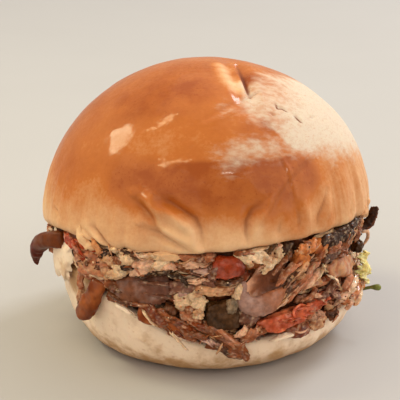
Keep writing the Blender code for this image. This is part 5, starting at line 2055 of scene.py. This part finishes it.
class SANDWICH_OT_pickles(SandwichOperator, bpy.types.Operator):
    """Make the pickles and the olive"""

    bl_idname = "sandwich.pickles"
    bl_label = "Pickles and olive"

    def execute(self, context):
        fill = values_of(context.scene.sandwich_filling)
        top = values_of(context.scene.sandwich_toppings)
        wet = moist_finish("pickle_flesh")
        tint = blotched(top.pickle, top.pickle_pale, dimmed(top.pickle, 0.4), 4, 0.2)
        pale = blotched(dimmed(fill.cream, 0.45), dimmed(fill.cream, 0.25), fill.dark, 2)
        bit = roughen(chunk_form(BLOCK_BIT, pale), 0.3, 1.4)
        add_side("pickle_block", tint, wet, "pickle", 0.5, 2.4, [bit])
        add_side("pickle_back", tint, wet, "pickle", 0.5, 2.4)
        add_side("olive_bit", tint, wet, "olive", 0.5, 2.4)
        return {"FINISHED"}


class SANDWICH_OT_onions(SandwichOperator, bpy.types.Operator):
    """Make the onion layers and the thin strand"""

    bl_idname = "sandwich.onions"
    bl_label = "Onions"

    def execute(self, context):
        top = values_of(context.scene.sandwich_toppings)
        soft = moist_finish("onion_layers")
        tint = streaked(top.onion, top.onion_pale, 3.0, fibre=5, rim=0.85)
        for name in ("onion_slice", "onion_back"):
            add_side(name, tint, soft, "red_onion", 0.15, 2)
        tint = streaked(top.onion_pale, dimmed(top.onion_pale, 0.8), 5.0)
        form = strip_form(STRIPS["onion_strand"], tint)
        add_piece("fine_onion_strand", form, soft, "pale_onion", "onion_strand")
        return {"FINISHED"}


class SANDWICH_OT_leaves(SandwichOperator, bpy.types.Operator):
    """Make the lettuce and the herb stalk"""

    bl_idname = "sandwich.leaves"
    bl_label = "Lettuce and herb"

    def execute(self, context):
        top = values_of(context.scene.sandwich_toppings)
        leaf = moist_finish("lettuce_leaf")
        tint = blotched(top.lettuce, top.lettuce_pale, dimmed(top.lettuce, 0.4), 2, 0.3, 0.2)
        for name in ("lettuce_right", "lettuce_back"):
            add_side(name, tint, leaf, "lettuce", 0.35, 1.3, ruffle=0.6)
        form = stalk_form(lambda point, angle, ring: dimmed(top.herb, 0.7 + 0.6 * ring / STALK_NET[1]))
        add_piece("fine_herb_stalk", form, leaf, "herb", "herb_stalk")
        return {"FINISHED"}


class SANDWICH_OT_bits(SandwichOperator, bpy.types.Operator):
    """Scatter loose shreds of meat and crumbs over the heap"""

    bl_idname = "sandwich.bits"
    bl_label = "Shreds and crumbs"

    def execute(self, context):
        fill = values_of(context.scene.sandwich_filling)
        filling = search_tree(*(bpy.data.objects[name] for name in BITS_GROUND))
        draw = random.Random(BITS_SEED)
        palette = meat_palette(fill)
        meat = bpy.data.materials["torn_flakes"]
        shreds = []
        for _ in range(fill.shreds):
            spot = bare_spot(draw, filling)
            base, edge = draw.choice(palette)
            tint = streaked(base, edge, draw.uniform(0, 9), fibre=3)
            length = draw.uniform(*SHRED_LENGTH)
            width = draw.uniform(*SHRED_WIDTH)
            thickness = draw.uniform(*SHRED_THICKNESS)
            lean = draw.gauss(0, 0.5)
            bend = draw.uniform(-0.15, 0.15)
            if spot is not None:
                shreds.append(shred_form(spot, length, width, thickness, lean, bend, tint))
        add_piece("meat_shreds", join(shreds), meat, "shaved_meat")
        crumbs = []
        for _ in range(fill.crumbs):
            spot = bare_spot(draw, filling)
            size = draw.uniform(*CRUMB_SIZE)
            colour = draw.choice((fill.char, fill.dark, fill.brown, fill.tan, fill.rose, fill.cream))
            if spot is not None:
                crumbs.append(crumb_form(spot, size, draw.uniform(0, 99), colour))
        add_piece("meat_crumbs", join(crumbs), meat, "shaved_meat")
        return {"FINISHED"}


def bare_spot(draw, filling):
    """A random point on the filling's side as seen from outside, or None between the pieces."""
    angle = draw.uniform(0, TURN)
    low = heel_over(angle, CORE_RADIUS) + BITS_MARGIN
    high = crown_under(angle, CORE_RADIUS) - BITS_MARGIN
    height = draw.uniform(low, high)
    if is_clear(angle / DEGREE, height / MM):
        return None
    return filling.ray_cast(polar(angle, DROP_FROM, height), polar(angle, -1, 0), DROP_REACH)[0]


def shred_form(spot, length, width, thickness, lean, bend, tint):
    """A thin shred that lies against the filling."""
    angle = math.atan2(spot.y, spot.x)
    radius = math.hypot(spot.x, spot.y)

    def place(s, t, side):
        right = length / 2 * s
        up = width / 2 * t * (1 - 0.5 * s * s) + bend * length * (s * s - 0.3)
        across, rise = leaned(right, up, lean)
        out = 0.3 * thickness + side * thickness / 2 * rim_height(s, t) - 0.5 * MM * s * s
        return polar(angle + across / radius, radius + out, spot.z + rise)

    return slab(SHRED_NET, place, tint)


def crumb_form(spot, size, seed, colour):
    def place(x, y, z):
        point = rounded(x, y, z, 0.8)
        point *= size / 2 * (1 + 0.35 * noise.noise(1.6 * point + Vector((seed, 0, 0))))
        return spot + point

    return lump(CRUMB_CUTS, place, lambda point, *_: colour)


def add_light(name, place, aim, size, colour, power):
    """A soft rectangular light at place that faces aim."""
    lamp = bpy.data.lights.new(name, "AREA")
    lamp.shape = "RECTANGLE"
    lamp.size, lamp.size_y = size
    lamp.energy = power
    lamp.color = colour
    light = bpy.data.objects.new(name, lamp)
    light.location = place
    light.rotation_euler = (Vector(aim) - Vector(place)).to_track_quat("-Z", "Y").to_euler()
    bpy.context.scene.collection.objects.link(light)
    return light


def add_bar(name, start, end, power):
    """A long narrow lamp from start to end that faces the dome."""
    start, end = Vector(start), Vector(end)
    middle = (start + end) / 2
    light = add_light(name, middle, BAR_AIM, ((end - start).length, BAR_WIDTH), BAR_COLOUR, power)
    along = (end - start).normalized()
    back = middle - Vector(BAR_AIM)
    back = (back - along * back.dot(along)).normalized()
    light.rotation_euler = Matrix((along, back.cross(along), back)).transposed().to_euler()


def add_floor(colour):
    """The plain round floor, with a slight mottle."""
    bm = bmesh.new()
    bmesh.ops.create_circle(bm, cap_ends=True, segments=96, radius=FLOOR_RADIUS)
    mesh = bpy.data.meshes.new("floor")
    bm.to_mesh(mesh)
    bm.free()
    floor = bpy.data.objects.new("floor", mesh)
    finish = Finish("floor")
    mottle = finish.band(finish.noise(FLOOR_MOTTLE, detail=3), 0.3, 0.7, 0.0, 0.5)
    finish.set(
        Base_Color=finish.mix(mottle, opaque(colour), opaque(dimmed(colour, 0.97))), Roughness=0.6,
    )
    mesh.materials.append(finish.material)
    bpy.context.scene.collection.objects.link(floor)
    floor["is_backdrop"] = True


def add_room(colour, power):
    """Soft light from all round."""
    world = bpy.data.worlds.new("room")
    world.use_nodes = True
    room = world.node_tree.nodes["Background"]
    room.inputs["Color"].default_value = opaque(colour)
    room.inputs["Strength"].default_value = power
    bpy.context.scene.world = world


def add_camera():
    """The camera, where the photo was taken from."""
    view = bpy.data.cameras.new("camera")
    view.lens = CAMERA_LENS
    view.sensor_width = 36
    camera = bpy.data.objects.new("camera", view)
    camera.location = CAMERA_PLACE
    aim = Vector(CAMERA_AIM) - camera.location
    camera.rotation_euler = aim.to_track_quat("-Z", "Y").to_euler()
    bpy.context.scene.collection.objects.link(camera)
    bpy.context.scene.camera = camera


class SANDWICH_OT_stage(SandwichOperator, bpy.types.Operator):
    """Set the pale floor, the soft lights and the camera"""

    bl_idname = "sandwich.stage"
    bl_label = "Stage"

    def execute(self, context):
        stage = values_of(context.scene.sandwich_stage)
        add_floor(stage.floor)
        add_room(stage.room, stage.room_power)
        for name, *lamp in LAMPS:
            add_light(name, *lamp, getattr(stage, f"{name}_power"))
        for name, start, end, share in BARS:
            add_bar(name, start, end, share * stage.bar_power)
        add_light(*GLINT, stage.glint_power)
        add_camera()
        context.scene.view_settings.view_transform = "Standard"
        return {"FINISHED"}


class SANDWICH_PT_panel(bpy.types.Panel):
    """The sandwich's settings and the buttons that make it"""

    bl_idname = "SANDWICH_PT_panel"
    bl_label = "Shawarma sandwich"
    bl_space_type = "VIEW_3D"
    bl_region_type = "UI"
    bl_category = "Sandwich"

    def draw(self, context):
        for operator in OPERATORS:
            self.layout.operator(operator.bl_idname)
        for group in SETTINGS:
            box = self.layout.box()
            settings = getattr(context.scene, group)
            for name in setting_names(settings):
                box.prop(settings, name)


SETTINGS = {
    "sandwich_bun": BunSettings,
    "sandwich_filling": FillingSettings,
    "sandwich_toppings": ToppingSettings,
    "sandwich_stage": StageSettings,
}
OPERATORS = (
    SANDWICH_OT_stage,
    SANDWICH_OT_crown,
    SANDWICH_OT_heel,
    SANDWICH_OT_heap,
    SANDWICH_OT_flakes,
    SANDWICH_OT_slices,
    SANDWICH_OT_tomatoes,
    SANDWICH_OT_peppers,
    SANDWICH_OT_pickles,
    SANDWICH_OT_onions,
    SANDWICH_OT_leaves,
    SANDWICH_OT_bits,
)


def register():
    for group in SETTINGS.values():
        bpy.utils.register_class(group)
    for name, group in SETTINGS.items():
        setattr(bpy.types.Scene, name, PointerProperty(type=group))
    for operator in OPERATORS:
        bpy.utils.register_class(operator)
    bpy.utils.register_class(SANDWICH_PT_panel)


def unregister():
    bpy.utils.unregister_class(SANDWICH_PT_panel)
    for operator in reversed(OPERATORS):
        bpy.utils.unregister_class(operator)
    for name, group in SETTINGS.items():
        delattr(bpy.types.Scene, name)
        bpy.utils.unregister_class(group)


def main():
    solid_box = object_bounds()
    register()
    for operator in OPERATORS:
        group, name = operator.bl_idname.split(".")
        getattr(getattr(bpy.ops, group), name)()
    [[list(corner) for corner in box] for box in (solid_box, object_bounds())]


if __name__ == "__main__":
    main()
